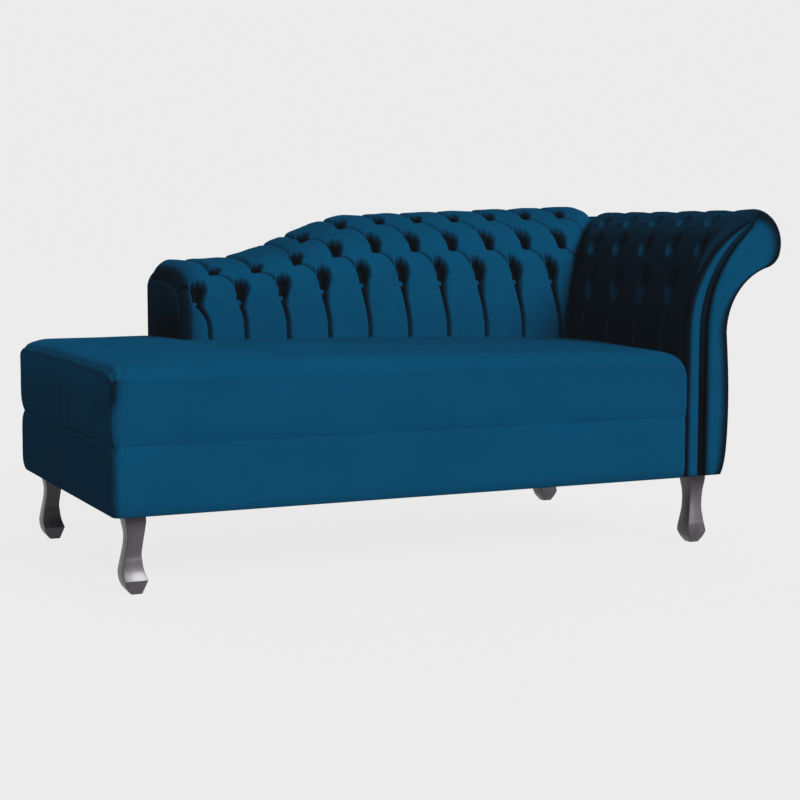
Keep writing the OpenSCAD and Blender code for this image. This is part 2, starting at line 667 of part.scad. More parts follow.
// Height of the seat: a crowned top that rolls over the front and rear edges, with a tighter roll on
// the seamed open end and a slight one towards the arm
function seat_top(x, y) =
    let (along_s = (x - open_x) / (seat_end_x - open_x), over_s = (y - front_y) / couch_d,
        from = crown_from_share,
        crown = seat_crown * sqrt(sin(180 * mix(from[0], 1 - from[0], clamp01(along_s)))
            * sin(180 * mix(from[1], 1 - from[1], clamp01(over_s)))),
        fall = seat_fall * pow(along_s, 3),
        nose = edge_round(y - front_y, seat_nose_r) * nose_drop_share,
        tail = edge_round(rear_y - y, seat_nose_r) * tail_drop_share,
        open_end = edge_round(x - open_x, seat_nose_r / 3) * end_drop_share,
        arm_end = edge_round(seat_end_x - x, 2 * seat_nose_r) * arm_drop_share * (1 - smooth(over_s * 2)))
    seat_edge_z + crown - fall - nose - tail - open_end - arm_end;
// Weights that are 1 on the open end and on the front or rear, and fade out over a length
function edge_weights(x, y, l) =
    [clamp01(1 - (x - open_x) / l), clamp01(1 - (couch_d / 2 - abs(y)) / l)];
// Part of a move across a corner that keeps the corner round
function corner_part(w) = norm(w) > 0 ? max(w) / norm(w) : 1;
// A place on the seat, moved so that the two corners of the open end are rounded
function rounded(x, y) = let (w = edge_weights(x, y, corner_round), d = (1 - corner_part(w)) * corner_round)
    [x + d * w[0], y - sign(y) * d * w[1]];
// Rings of the sides, from the seam at the base up to the top: how far each is drawn in
side_ring_share = [0, 0.12, 0.35, 0.62];
side_draw_share = [1, 0.45, 0.1, 0];

// The foam under the cover
foam_top_z = seam_z + seat_edge_h - seat_nose_r;
foam_outline = let (w = seat_wrap_t) [
    [open_x + w, front_y + w], [seat_end_x - w, front_y + w], [seat_end_x - w, seat_back_y - w],
    [seat_notch_x - w, seat_back_y - w], [seat_notch_x - w, rear_y - w], [open_x + w, rear_y - w]];

// The cover is pulled down over the foam and stapled under its edge, so it is open underneath
module seat_form() {
    nx = len(seat_xs);
    ny = len(seat_ys);
    // Boundary of the seat in grid numbers, counter-clockwise, with a notch for the back
    rim = concat(
        [for (i = [0 : nx - 1]) [i, 0]],
        [for (j = [1 : notch_j]) [nx - 1, j]],
        [for (i = [nx - 2 : -1 : notch_i]) [i, notch_j]],
        [for (j = [notch_j + 1 : ny - 1]) [notch_i, j]],
        [for (i = [notch_i - 1 : -1 : 0]) [i, ny - 1]],
        [for (j = [ny - 2 : -1 : 1]) [0, j]]);
    function inside(i, j) = i <= notch_i || j <= notch_j;
    function top_point(i, j) = let (x = seat_xs[i], y = seat_ys[j], q = rounded(x, y))
        [q[0], q[1], seat_top(x, y)];
    n = len(rim);
    // A side is drawn in towards the seat, but stays put where it meets the back or the arm
    function drawn(p, d) = let (x = seat_xs[p[0]], y = seat_ys[p[1]], q = rounded(x, y),
        w = edge_weights(x, y, seat_nose_r), part = corner_part(w) * d)
        [q[0] + part * w[0], q[1] - sign(y) * part * w[1]];
    rings = [for (k = [0 : len(side_ring_share) - 1]) each [for (p = rim)
        let (q = drawn(p, side_draw_share[k] * seat_draw), top = top_point(p[0], p[1])[2])
        [q[0], q[1], mix(pad_foot_z, top, side_ring_share[k])]]];
    ring_n = len(side_ring_share);
    grid = [for (j = [0 : ny - 1], i = [0 : nx - 1]) top_point(i, j)];
    base = n * ring_n;
    function g(i, j) = base + j * nx + i;
    sides = [for (k = [0 : ring_n - 2], m = [0 : n - 1]) let (m2 = (m + 1) % n, a = k * n + m,
        b = k * n + m2) each [[a, a + n, b + n], [a, b + n, b]]];
    join = [for (m = [0 : n - 1]) let (m2 = (m + 1) % n, a = (ring_n - 1) * n + m,
        b = (ring_n - 1) * n + m2, c = g(rim[m][0], rim[m][1]), d = g(rim[m2][0], rim[m2][1]))
        each [[a, c, d], [a, d, b]]];
    top = [for (j = [0 : ny - 2], i = [0 : nx - 2]) if (inside(i + 1, j + 1))
        each [[g(i, j), g(i + 1, j + 1), g(i + 1, j)], [g(i, j), g(i, j + 1), g(i + 1, j + 1)]]];
    // Underneath, a flat hem runs in from the rim to the foam, and the foam fills the hollow
    core = base + nx * ny;
    corners = [for (z = [pad_foot_z, foam_top_z]) each [for (p = foam_outline) [p[0], p[1], z]]];
    last = len(foam_outline);
    edge_ends = [nx - 1, nx - 1 + notch_j, 2 * (nx - 1) + notch_j - notch_i,
        2 * (nx - 1) - notch_i + ny - 1, 2 * (nx - 1) + ny - 1, n];
    function faced(m, e = 0) = m >= edge_ends[e] ? faced(m, e + 1)
        : m < (edge_ends[e] + (e == 0 ? 0 : edge_ends[e - 1])) / 2 ? e : (e + 1) % last;
    hem = [for (m = [0 : n - 1]) let (m2 = (m + 1) % n, c = faced(m), d = faced(m2))
        each concat([[core + c, m, m2]], c == d ? [] : [[core + c, m2, core + d]])];
    walls = [for (c = [0 : last - 1]) let (d = (c + 1) % last)
        each [[core + c, core + d, core + last + d], [core + c, core + last + d, core + last + c]]];
    ceiling = [for (t = [[0, 1, 2], [0, 2, 3], [0, 3, 4], [0, 4, 5]])
        [core + last + t[0], core + last + t[1], core + last + t[2]]];
    polyhedron(concat(rings, grid, corners), concat(sides, join, top, hem, walls, ceiling),
        convexity = 10);
}
module seat_foam() {
    color(foam) translate([0, 0, seam_z]) linear_extrude(foam_top_z - seat_gap - seam_z)
        polygon(foam_outline);
}
module seat_cover() { color(velvet) seat_form(); }

deck_z = seam_z - cloth_t;
module seat_deck() {
    color(webbing) difference() {
        translate([box_x0, box_y0, deck_z]) cube([arm_x - box_x0, box_y1 - box_y0, cloth_t]);
        back_screw_holes(deck_z - overrun, cloth_t + 2 * overrun);
    }
}
module webbing_long() {
    color(webbing) for (i = [1 : web_long_n])
        translate([open_x + border_t, mix(front_y, rear_y, i / (web_long_n + 1)) - web_w / 2, rail_top_z])
            cube([arm_x - open_x - border_t, web_w, web_t]);
}
module webbing_cross() {
    color(webbing) for (i = [1 : web_cross_n])
        translate([mix(open_x, arm_x, i / (web_cross_n + 1)) - web_w / 2, front_y + border_t,
            rail_top_z + web_t])
            cube([web_w, couch_d - 2 * border_t, web_t]);
}

// Base

rail_h = rail_top_z - frame_z;
box_in_l = arm_x - box_x0 - 2 * rail_t;
box_in_d = box_y1 - box_y0 - 2 * rail_t;

module base_front_rail() {
    color(pine) translate([box_x0, box_y0, frame_z]) cube([arm_x - box_x0, rail_t, rail_h]);
}
module base_back_rail() {
    color(pine) difference() {
        translate([box_x0, box_y1 - rail_t, frame_z]) cube([arm_x - box_x0, rail_t, rail_h]);
        back_screw_holes(back_screw_z, rail_t + overrun);
    }
}
module base_left_rail() {
    color(pine) translate([box_x0, box_y0 + rail_t, frame_z]) cube([rail_t, box_in_d, rail_h]);
}
bolt_y_share = [-0.3, 0.3];
bolt_z_share = [0.3, 0.75];
arm_bolt_places = [for (y = bolt_y_share, z = bolt_z_share) [y * couch_d, frame_z + z * rail_h]];
module bolt_holes(places, x, l) {
    for (p = places) translate([x, p[0], p[1]]) rotate([0, 90, 0]) cylinder(h = l, d = bolt_d, $fn = 32);
}
module base_right_rail() {
    color(pine) difference() {
        translate([arm_x - rail_t, box_y0 + rail_t, frame_z]) cube([rail_t, box_in_d, rail_h]);
        bolt_holes(arm_bolt_places, arm_x - rail_t - overrun, rail_t + 2 * overrun);
    }
}
module base_cross_rails() {
    color(pine) for (i = [1 : cross_rail_n])
        translate([box_x0 + rail_t + box_in_l * i / (cross_rail_n + 1) - rail_t / 2, box_y0 + rail_t,
            frame_z]) cube([rail_t, box_in_d, rail_h - web_w]);
}

// Legs stand under the open end of the base and under the arm
leg_left_x = open_x + leg_end_inset;
leg_right_share = 0.52;
leg_right_x = mix(arm_x, arm_out_x, leg_right_share);
leg_front_y = front_y + leg_side_inset;
leg_rear_y = rear_y - leg_side_inset + cover_t;
leg_places = [[leg_left_x, leg_front_y], [leg_left_x, leg_rear_y], [leg_right_x, leg_front_y],
    [leg_right_x, leg_rear_y]];
bolt_in_leg = leg_bolt_l / 2;
block_long_share = 1.2;
block_l = block_w * block_long_share;
module leg_bolt_holes(z, l) {
    for (p = leg_places) translate([p[0], p[1], z]) cylinder(h = l, d = bolt_d, $fn = 32);
}
module corner_blocks() {
    color(pine) difference() {
        for (p = leg_places) let (left = p[0] < 0, front = p[1] < 0,
            x0 = left ? box_x0 + rail_t : arm_x + rail_t,
            w = left ? block_w : arm_out_x - board_out - foot_in - x0,
            y0 = front ? (left ? box_y0 + rail_t : board_front_y + board_t)
                : (left ? box_y1 - rail_t : box_y1 - board_t) - block_l)
            translate([x0, y0, frame_z]) cube([w, block_l, block_h]);
        leg_bolt_holes(frame_z - overrun, block_h + 2 * overrun);
    }
}
module leg_bolts() {
    color(steel) leg_bolt_holes(base_z - bolt_in_leg, leg_bolt_l);
}

// Half widths of a leg down its height, as shares of half its top width and of its height. The
// heel side is a smooth S, and the toe side ends in a sharp edge over a tapered sole.
toe_share = [[1, 1], [1.04, 0.91], [0.94, 0.79], [0.69, 0.52], [0.73, 0.41], [0.85, 0.29], [1.13, 0.17]];
toe_sole_share = [0.69, 0];
heel_share = [[1, 1], [0.80, 0.86], [0.68, 0.745], [0.74, 0.60], [1.03, 0.36], [1.12, 0.25], [0.93, 0.11],
    [0.33, 0]];
module leg_profile() {
    toe = through(toe_share, 5);
    heel = through(heel_share, 5);
    r = leg_w / 2;
    polygon(concat(
        [for (p = toe) [p[0] * r, p[1] * leg_h]],
        [[toe_sole_share[0] * r, 0]],
        [for (i = [len(heel) - 1 : -1 : 0]) [-heel[i][0] * r, max(0, heel[i][1]) * leg_h]]));
}
// One leg, sawn to the same profile on two neighbouring faces; sx and sy say where its toe points
module leg(place, sx, sy) {
    color(leg_finish) difference() {
        translate([place[0], place[1], 0]) intersection() {
            mirror([sx < 0 ? 1 : 0, 0, 0]) translate([0, leg_w, 0]) rotate([90, 0, 0])
                linear_extrude(2 * leg_w) leg_profile();
            mirror([0, sy < 0 ? 1 : 0, 0]) translate([-leg_w, 0, 0]) rotate([90, 0, 90])
                linear_extrude(2 * leg_w) leg_profile();
        }
        leg_bolt_holes(base_z - bolt_in_leg, leg_bolt_l);
    }
}
module leg_front_left() { leg(leg_places[0], 1, -1); }
module leg_back_left() { leg(leg_places[1], 1, -1); }
module leg_front_right() { leg(leg_places[2], 1, 1); }
module leg_back_right() { leg(leg_places[3], 1, 1); }

dust_end_x = arm_out_x - foot_in - belly;
module dust_cover() {
    color(cloth_black) difference() {
        translate([0, 0, base_z]) linear_extrude(cloth_t) polygon([
            [box_x0, box_y0], [arm_x, box_y0], [arm_x, board_front_y], [dust_end_x, board_front_y],
            [dust_end_x, box_y1], [box_x0, box_y1]]);
        leg_bolt_holes(base_z - overrun, cloth_t + 2 * overrun);
    }
}

// The border is one stuffed strip round the front, the open end and the rear, up to the back
border_swell_share = [0.45, 0.85, 1, 0.85, 0.4];
border_level_share = [0, 0.2, 0.5, 0.8, 1];
border_soft_share = 0.6;
module base_border() {
    path = concat(
        [[arm_x - seat_gap, front_y, 0, -1]],
        [[mix(open_x, arm_x, 0.5), front_y, 0, -1]],
        [for (i = [0 : 4]) let (a = 270 - 90 * i / 4)
            [open_x + corner_round + corner_round * cos(a), front_y + corner_round + corner_round * sin(a),
                cos(a), sin(a)]],
        [for (i = [0 : 4]) let (a = 180 - 90 * i / 4)
            [open_x + corner_round + corner_round * cos(a), rear_y - corner_round + corner_round * sin(a),
                cos(a), sin(a)]],
        [[back_x - seat_gap, rear_y, 0, 1]]);
    n = len(path);
    m = len(border_level_share);
    outer = [for (k = [0 : m - 1]) each [for (p = path)
        let (d = (1 - border_swell_share[k]) * border_t * border_soft_share)
            [p[0] - d * p[2], p[1] - d * p[3], mix(base_z, seam_z, border_level_share[k])]]];
    // Corners of the wooden box behind the border, and the one that each point of the path faces
    box = [[arm_x - seat_gap, box_y0], [box_x0, box_y0], [box_x0, box_y1], [back_x - seat_gap, box_y1]];
    facing = concat([0, 0], [for (i = [0 : 4]) 1], [for (i = [0 : 4]) 2], [3]);
    inner = [for (z = [base_z, seam_z]) each [for (p = box) [p[0], p[1], z]]];
    o = m * n;
    function at(k, i) = k * n + i;
    function in_at(k, i) = o + k * len(box) + i;
    function cap(k, row, flip) = [for (i = [0 : n - 2])
        for (t = concat([[at(row, i), at(row, i + 1), in_at(k, facing[i])]],
            facing[i + 1] == facing[i] ? []
                : [[at(row, i + 1), in_at(k, facing[i + 1]), in_at(k, facing[i])]]))
        flip ? [t[2], t[1], t[0]] : t];
    faces = concat(
        [for (k = [0 : m - 2], i = [0 : n - 2])
            each [[at(k, i), at(k, i + 1), at(k + 1, i + 1)], [at(k, i), at(k + 1, i + 1), at(k + 1, i)]]],
        [for (i = [0 : len(box) - 2]) each [[in_at(0, i), in_at(1, i), in_at(1, i + 1)],
            [in_at(0, i), in_at(1, i + 1), in_at(0, i + 1)]]],
        cap(0, 0, true),
        cap(1, m - 1, false),
        [for (k = [0 : m - 2]) [in_at(0, 0), at(k, 0), at(k + 1, 0)]],
        [[in_at(0, 0), at(m - 1, 0), in_at(1, 0)]],
        [for (k = [0 : m - 2]) [in_at(0, 3), at(k + 1, n - 1), at(k, n - 1)]],
        [[in_at(0, 3), in_at(1, 3), at(m - 1, n - 1)]]);
    color(velvet) polyhedron(concat(outer, inner), faces, convexity = 6);
}

// Fixings

// Sizes of a bolt's head and washer, as shares of its diameter
head_t_share = 0.65;
head_d_share = 1.8;
washer_t_share = 0.2;
washer_d_share = 2.4;
head_t = bolt_d * head_t_share;
washer_t = bolt_d * washer_t_share;
module arm_bolts() {
    color(steel) for (p = arm_bolt_places) translate([arm_x - rail_t - head_t - washer_t, p[0], p[1]])
        rotate([0, 90, 0]) {
            cylinder(h = 2 * rail_t + 2 * head_t + 2 * washer_t, d = bolt_d, $fn = 32);
            cylinder(h = head_t, d = bolt_d * head_d_share, $fn = 6);
            translate([0, 0, head_t]) cylinder(h = washer_t, d = bolt_d * washer_d_share, $fn = 32);
        }
}
module arm_bolt_nuts() {
    color(steel) for (p = arm_bolt_places) translate([arm_x + rail_t, p[0], p[1]]) rotate([0, 90, 0])
        difference() {
            union() {
                cylinder(h = washer_t, d = bolt_d * washer_d_share, $fn = 32);
                cylinder(h = head_t + washer_t, d = bolt_d * head_d_share, $fn = 6);
            }
            translate([0, 0, -overrun]) cylinder(h = head_t + washer_t + 2 * overrun, d = bolt_d, $fn = 32);
        }
}
// Screws hold the back's sill down on the back rail, between the straps of webbing
screw_d_share = 0.75;
screw_d = bolt_d * screw_d_share;
screw_place_share = [0.35, 0.55, 0.75, 0.92];
back_screw_z = rail_top_z - rail_t;
module back_screw_holes(z, l) {
    for (s = screw_place_share)
        let (strap = floor(s * (web_cross_n + 1)) + 0.5)
            translate([mix(open_x, arm_x, strap / (web_cross_n + 1)), box_y1 - rail_t / 2, z])
                cylinder(h = l, d = screw_d, $fn = 24);
}
module back_screws() {
    color(steel) back_screw_holes(back_screw_z, rib_foot_z - back_screw_z);
}

base_front_rail();
base_back_rail();
base_left_rail();
base_right_rail();
base_cross_rails();
corner_blocks();
leg_front_left();
leg_back_left();
leg_front_right();
leg_back_right();
leg_bolts();
arm_bolts();
arm_bolt_nuts();
back_screws();
dust_cover();
base_border();
webbing_long();
webbing_cross();
seat_deck();
seat_foam();
seat_cover();
back_sill();
back_ribs();
back_front_board();
back_ridge_rail();
back_rear_board();
back_pad();
back_buttons();
back_end_cover();
back_outside_cover();
arm_front_board();
arm_middle_board();
arm_rear_board();
arm_side_rail();
arm_rails();
arm_pad();
arm_buttons();
arm_roll_cover();
arm_front_band();
arm_front_facing();
arm_front_cover();
arm_outside_cover();
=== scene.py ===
import math

import bpy
import numpy as np
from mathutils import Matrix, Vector


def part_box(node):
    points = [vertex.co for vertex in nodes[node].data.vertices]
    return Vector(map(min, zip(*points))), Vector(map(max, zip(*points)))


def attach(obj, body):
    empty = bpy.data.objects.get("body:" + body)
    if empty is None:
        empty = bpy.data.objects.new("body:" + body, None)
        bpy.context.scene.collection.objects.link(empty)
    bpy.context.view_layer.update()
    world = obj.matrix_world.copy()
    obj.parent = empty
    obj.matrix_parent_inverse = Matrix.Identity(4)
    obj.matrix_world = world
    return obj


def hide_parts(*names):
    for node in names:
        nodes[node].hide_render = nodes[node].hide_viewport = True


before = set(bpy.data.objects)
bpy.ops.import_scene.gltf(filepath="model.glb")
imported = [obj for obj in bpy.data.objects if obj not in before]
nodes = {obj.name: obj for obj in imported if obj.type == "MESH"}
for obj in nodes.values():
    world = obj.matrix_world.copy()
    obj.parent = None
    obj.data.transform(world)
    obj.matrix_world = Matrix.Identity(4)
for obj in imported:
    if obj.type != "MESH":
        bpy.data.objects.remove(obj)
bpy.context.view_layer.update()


# Softwood base, sill, blocks and arm rails: planed pine, screwed and glued up and hidden by cloth.
# Pale wood with soft grain lines along each length.

class Socket:
    """One output of a shader node. Arithmetic on it adds Math nodes."""

    def __init__(self, finish, out):
        self.finish = finish
        self.out = out

    def math(self, operation, other):
        return self.finish.add("ShaderNodeMath", {"operation": operation}, {0: self, 1: other})

    def __add__(self, other):
        return self.math("ADD", other)

    def __mul__(self, other):
        return self.math("MULTIPLY", other)

    __radd__ = __add__
    __rmul__ = __mul__


class Finish:
    """One material, with a single method that adds any node to it."""

    def __init__(self, name):
        self.material = bpy.data.materials.new(name)
        self.material.use_nodes = True
        self.tree = self.material.node_tree
        self.shader = self.tree.nodes["Principled BSDF"]
        self.place = self.add("ShaderNodeTexCoord", {}, {}, "Object")

    def feed(self, socket, value):
        if isinstance(value, Socket):
            self.tree.links.new(value.out, socket)
        else:
            socket.default_value = value

    def add(self, kind, settings, inputs, output=0):
        node = self.tree.nodes.new(kind)
        for key, value in settings.items():
            if key == "stops":
                ramp = node.color_ramp.elements
                while len(ramp) < len(value):
                    ramp.new(0.5)
                for stop, (at, colour) in zip(ramp, value):
                    stop.position = at
                    stop.color = tuple(colour) + (1,)
            else:
                setattr(node, key, value)
        for key, value in inputs.items():
            self.feed(node.inputs[key], value)
        return Socket(self, node.outputs[output])

    def noise(self, scale, detail=3, stretch=(1, 1, 1)):
        at = self.add("ShaderNodeMapping", {}, {"Vector": self.place, "Scale": stretch})
        return self.add("ShaderNodeTexNoise", {}, {"Vector": at, "Scale": scale, "Detail": detail})

    def ramp(self, amount, stops):
        return self.add("ShaderNodeValToRGB", {"stops": stops}, {0: amount})

    def bump(self, height, depth, under=None):
        values = {"Strength": 1.0, "Distance": depth, "Height": height}
        if under is not None:
            values["Normal"] = under
        return self.add("ShaderNodeBump", {}, values)

    def set(self, **sockets):
        for key, value in sockets.items():
            self.feed(self.shader.inputs[key.replace("_", " ")], value)
        return self.material


def wood(name, dark, mid, pale, stretch):
    """Bare wood. Its grain runs along the axis that has the small number in stretch."""
    finish = Finish(name)
    grain = finish.noise(26, 6, stretch)
    pores = finish.noise(240, 2, stretch)
    return finish.set(
        Base_Color=finish.ramp(grain * 0.85 + pores * 0.15, [(0.3, dark), (0.5, mid), (0.7, pale)]),
        Roughness=0.62 + pores * 0.2, Normal=finish.bump(grain + pores * 0.5, 0.0006))


def dress(material, *names):
    """Puts a material on pieces of the frame that keep their own shape."""
    for name in names:
        slots = nodes[name].data.materials
        slots.clear()
        slots.append(material)


pine_colours = ((0.42, 0.27, 0.12), (0.60, 0.42, 0.21), (0.70, 0.52, 0.29))
dress(wood("pine_lengthwise", *pine_colours, (0.12, 1, 1)),
      "base_front_rail", "base_back_rail", "back_sill")
dress(wood("pine_crosswise", *pine_colours, (1, 0.12, 1)),
      "base_left_rail", "base_right_rail", "base_cross_rails", "arm_side_rail", "arm_rails")
dress(wood("pine_blocks", *pine_colours, (1, 1, 0.12)), "corner_blocks")


# Plywood boards of the back and arm: sawn to the section of the stuffing and left bare.
# Their faces are rotary-cut birch, with broad cloudy grain.

ply_colours = ((0.36, 0.23, 0.11), (0.52, 0.36, 0.19), (0.62, 0.46, 0.27))
dress(wood("plywood_upright", *ply_colours, (1, 1, 0.2)),
      "back_ribs", "arm_front_board", "arm_middle_board", "arm_rear_board")
dress(wood("plywood_long", *ply_colours, (0.2, 1, 1)),
      "back_front_board", "back_ridge_rail", "back_rear_board")


# Bolts, nuts and screws: zinc-plated steel, with the faint spangle and rub marks of plating. They
# hold the legs and the arm to the base, and the back's sill to the rails.

plating = Finish("zinc_plating")
spangle = plating.noise(600, 2)
rubs = plating.noise(90, 4, (1, 1, 0.2))
zinc = plating.ramp(spangle, [(0.3, (0.48, 0.49, 0.5)), (0.7, (0.66, 0.67, 0.69))])
dress(plating.set(Base_Color=zinc, Metallic=1.0, Roughness=0.28 + rubs * 0.25,
                  Normal=plating.bump(rubs, 0.0002)),
      "leg_bolts", "arm_bolts", "arm_bolt_nuts", "back_screws")


# Springing and underside: elastic webbing, a cotton deck, a foam core, and black dust cloth below.
# Each is flat goods cut to size, so the frame's own shapes stay and get their weave here.

def weave(name, thread, gap, pitch, fuzz):
    finish = Finish(name)
    bands = [finish.add("ShaderNodeTexWave", {"bands_direction": way},
                        {"Vector": finish.place, "Scale": pitch, "Distortion": 0.6, "Detail": 1.0})
             for way in ("X", "Y")]
    height = bands[0] * 0.5 + bands[1] * 0.5
    tone = finish.noise(30, 3)
    return finish.set(Base_Color=finish.ramp(height * 0.8 + tone * 0.2, [(0.2, gap), (0.75, thread)]),
                      Roughness=fuzz, Normal=finish.bump(height, 0.0003))


dress(weave("elastic_webbing", (0.60, 0.57, 0.50), (0.34, 0.31, 0.26), 160, 0.85),
      "webbing_long", "webbing_cross")
dress(weave("cotton_deck", (0.62, 0.58, 0.45), (0.44, 0.40, 0.30), 320, 0.9), "seat_deck")
dress(weave("dust_cloth", (0.020, 0.020, 0.022), (0.008, 0.008, 0.009), 420, 0.95), "dust_cover")

foam = Finish("foam")
cells = foam.add("ShaderNodeTexVoronoi", {}, {"Vector": foam.place, "Scale": 420})
dress(foam.set(Base_Color=foam.ramp(cells, [(0.0, (0.62, 0.52, 0.26)), (0.5, (0.85, 0.78, 0.5))]),
               Roughness=0.95, Normal=foam.bump(cells, 0.0006)), "seat_foam")


# Legs: short cabriole legs, band-sawn to one profile on two neighbouring faces, then eased along
# the corners and finished in a dark grey-brown stain under satin lacquer.

leg_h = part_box("leg_front_left")[1].z
leg_half_w = 0.022
# The sawn lines from the top down: distance from the axis in half widths, and height in leg heights
toe_points = [(1, 1), (1.04, 0.91), (0.94, 0.79), (0.69, 0.52), (0.73, 0.41), (0.85, 0.29), (1.13, 0.17)]
toe_sole = 0.69
heel_points = [(1, 1), (0.80, 0.86), (0.68, 0.745), (0.74, 0.60), (1.03, 0.36), (1.12, 0.25),
               (0.93, 0.11), (0.33, 0)]
leg_ease = 0.0016
corner_steps = 4


def through(points, steps):
    """A smooth curve through points, the same one that the frame's legs are sawn to."""
    p = np.array(points, float)
    out = []
    for i in range(len(p) - 1):
        a, b, c, d = p[max(i - 1, 0)], p[i], p[i + 1], p[min(i + 2, len(p) - 1)]
        for t in np.arange(steps) / steps:
            out.append(b + (c - a) * t / 2 + (2 * a - 5 * b + 4 * c - d) * t * t / 2
                       + (3 * b - a - 3 * c + d) * t ** 3 / 2)
    return np.array(out + [p[-1]])


def mesh_piece(name, points, faces, material):
    mesh = bpy.data.meshes.new(name)
    mesh.from_pydata([tuple(p) for p in points], [], [tuple(int(i) for i in f) for f in faces])
    mesh.update()
    mesh.shade_smooth()
    piece = bpy.data.objects.new(name, mesh)
    bpy.context.scene.collection.objects.link(piece)
    mesh.materials.append(material)
    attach(piece, "root")
    return piece


toe_curve = np.vstack([through(toe_points, 10), [[toe_sole, 0]]])
heel_curve = through(heel_points, 10)
toe_z, toe_w = toe_curve[::-1, 1], toe_curve[::-1, 0]
heel_z, heel_w = heel_curve[::-1, 1], heel_curve[::-1, 0]
leg_levels = np.unique(np.concatenate([np.linspace(0, 1, 90), toe_z]))
lacquer = Finish("leg_lacquer")
leg_grain = lacquer.noise(60, 6, (1, 1, 0.08))
leg_wear = lacquer.noise(14, 3)
leg_material = lacquer.set(
    Base_Color=lacquer.ramp(leg_grain * 0.6 + leg_wear * 0.4,
                            [(0.3, (0.0175, 0.0158, 0.0187)), (0.55, (0.0258, 0.0232, 0.0280)),
                             (0.8, (0.036, 0.033, 0.040))]),
    Roughness=0.34 + leg_grain * 0.1, Normal=lacquer.bump(leg_grain, 0.00025), Coat_Roughness=0.25,
    Specular_IOR_Level=0.3, Coat_Weight=0.12)

for leg in ("leg_front_left", "leg_back_left", "leg_front_right", "leg_back_right"):
    turn_y = -1 if "left" in leg else 1
    # The square top is centred on the leg's axis
    top = [v.co for v in nodes[leg].data.vertices if v.co.z > leg_h - 0.0005]
    axis_x = (min(c.x for c in top) + max(c.x for c in top)) / 2
    axis_y = (min(c.y for c in top) + max(c.y for c in top)) / 2
    points, faces = [], []
    for level in leg_levels:
        toe = np.interp(level, toe_z, toe_w) * leg_half_w
        heel = np.interp(level, heel_z, heel_w) * leg_half_w
        corners = [(toe, toe), (-heel, toe), (-heel, -heel), (toe, -heel)]
        for k, (cx, cy) in enumerate(corners):
            ox, oy = np.sign(cx), np.sign(cy)
            for step in range(corner_steps)[::1 if k % 2 == 0 else -1]:
                turn = math.pi / 2 * step / (corner_steps - 1)
                x = cx - ox * leg_ease * (1 - math.cos(turn))
                y = cy - oy * leg_ease * (1 - math.sin(turn))
                points.append((axis_x + x, axis_y + turn_y * y, level * leg_h))
    ring = 4 * corner_steps
    rows = len(leg_levels)
    for r in range(rows - 1):
        for k in range(ring):
            a, b = r * ring + k, r * ring + (k + 1) % ring
            faces.append((a, b, b + ring, a + ring) if turn_y > 0 else (a, a + ring, b + ring, b))
    for first, out in ((0, -1), ((rows - 1) * ring, 1)):
        cap = list(range(first, first + ring))
        faces.append(cap if out * turn_y > 0 else cap[::-1])
    piece = mesh_piece(leg + "_turned_out", points, faces, leg_material)
    piece.data.set_sharp_from_angle(angle=math.radians(40))
    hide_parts(leg)


# Border: one padded strip of velvet round the front, the open end and the rear of the base. It is
# stapled along both edges over thin foam, so it swells a little between them.

def velvet(name, deep, mid, lit, pile=0.00018):
    """Short-pile velvet: faint brushed patches and a fine pile, with painted shade mixed into its colour
    where a piece asks for it, and a faint painted glow all over.
    """
    # Painted shade colour, mixed in by each piece's marked amount, and a faint grey painted glow given to all
    # of the velvet
    painted_shade_colour = (0.0004, 0.0009, 0.0016, 1)
    painted_glow = (0.0045, 0.0045, 0.0045, 1)
    finish = Finish(name)
    brushed = finish.noise(5.5, 4, (1, 1, 1.6))
    streaks = finish.noise(38, 5, (1, 1, 0.35))
    nap = finish.noise(900, 2)
    tone = brushed * 0.6 + streaks * 0.28 + nap * 0.12
    fold = finish.add("ShaderNodeAttribute", {"attribute_name": "crease"}, {}, "Fac")
    open_pile = finish.ramp(tone, [(0.3, deep), (0.52, mid), (0.74, lit)])
    # A Mix of colours has its factor, first and second colour at 0, 6 and 7, and its result at 2
    colour = finish.add("ShaderNodeMix", {"data_type": "RGBA"}, {0: fold, 6: open_pile, 7: painted_shade_colour}, 2)
    surface = finish.bump(streaks, 0.0008)
    return finish.set(
        Base_Color=colour, Roughness=0.66 + nap * 0.2, Normal=finish.bump(nap, pile, surface),
        Specular_IOR_Level=0.0, Sheen_Weight=0.01, Sheen_Roughness=0.4, Sheen_Tint=(0.06, 0.34, 0.62, 1),
        Emission_Color=painted_glow, Emission_Strength=1.0)


def paint_shade(piece, amount):
    """Stores painted shade on each point of a velvet piece, from 0 to 1: how far its colour is darkened."""
    values = np.clip(np.asarray(amount, float).ravel(), 0, 1)
    layer = piece.data.attributes.new("crease", "FLOAT", "POINT")
    layer.data.foreach_set("value", values)


cloth = velvet("blue_velvet", (0.00010, 0.0184, 0.0412), (0.00012, 0.0206, 0.0458),
               (0.00015, 0.0230, 0.0502))
seam_gap = 0.0003
open_x, arm_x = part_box("base_border")[0].x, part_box("seat_cover")[1].x
front_y, rear_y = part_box("base_border")[0].y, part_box("base_border")[1].y
base_z, seam_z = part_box("base_border")[0].z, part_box("base_border")[1].z
back_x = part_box("back_end_cover")[0].x
corner_round = 0.024
border_step = 0.012
past_corner = 0.036
end_folds = (0.002, 0.016)


def smooth(t):
    """A soft step from 0 to 1."""
    t = np.clip(t, 0, 1)
    return t * t * (3 - 2 * t)


def ripple(u, v, seed, waves=7):
    """A gentle uneven wave over a surface, between about -1 and 1, the same on every run."""
    pick = np.random.RandomState(seed)
    out = 0
    for k in range(waves):
        a, b, c = pick.uniform(-1, 1), pick.uniform(-1, 1), pick.uniform(0, 2 * math.pi)
        out = out + np.sin((a * u + b * v) * (1 + 0.5 * k) * 2 * math.pi + c) / (1 + 0.5 * k)
    return out / 2.2


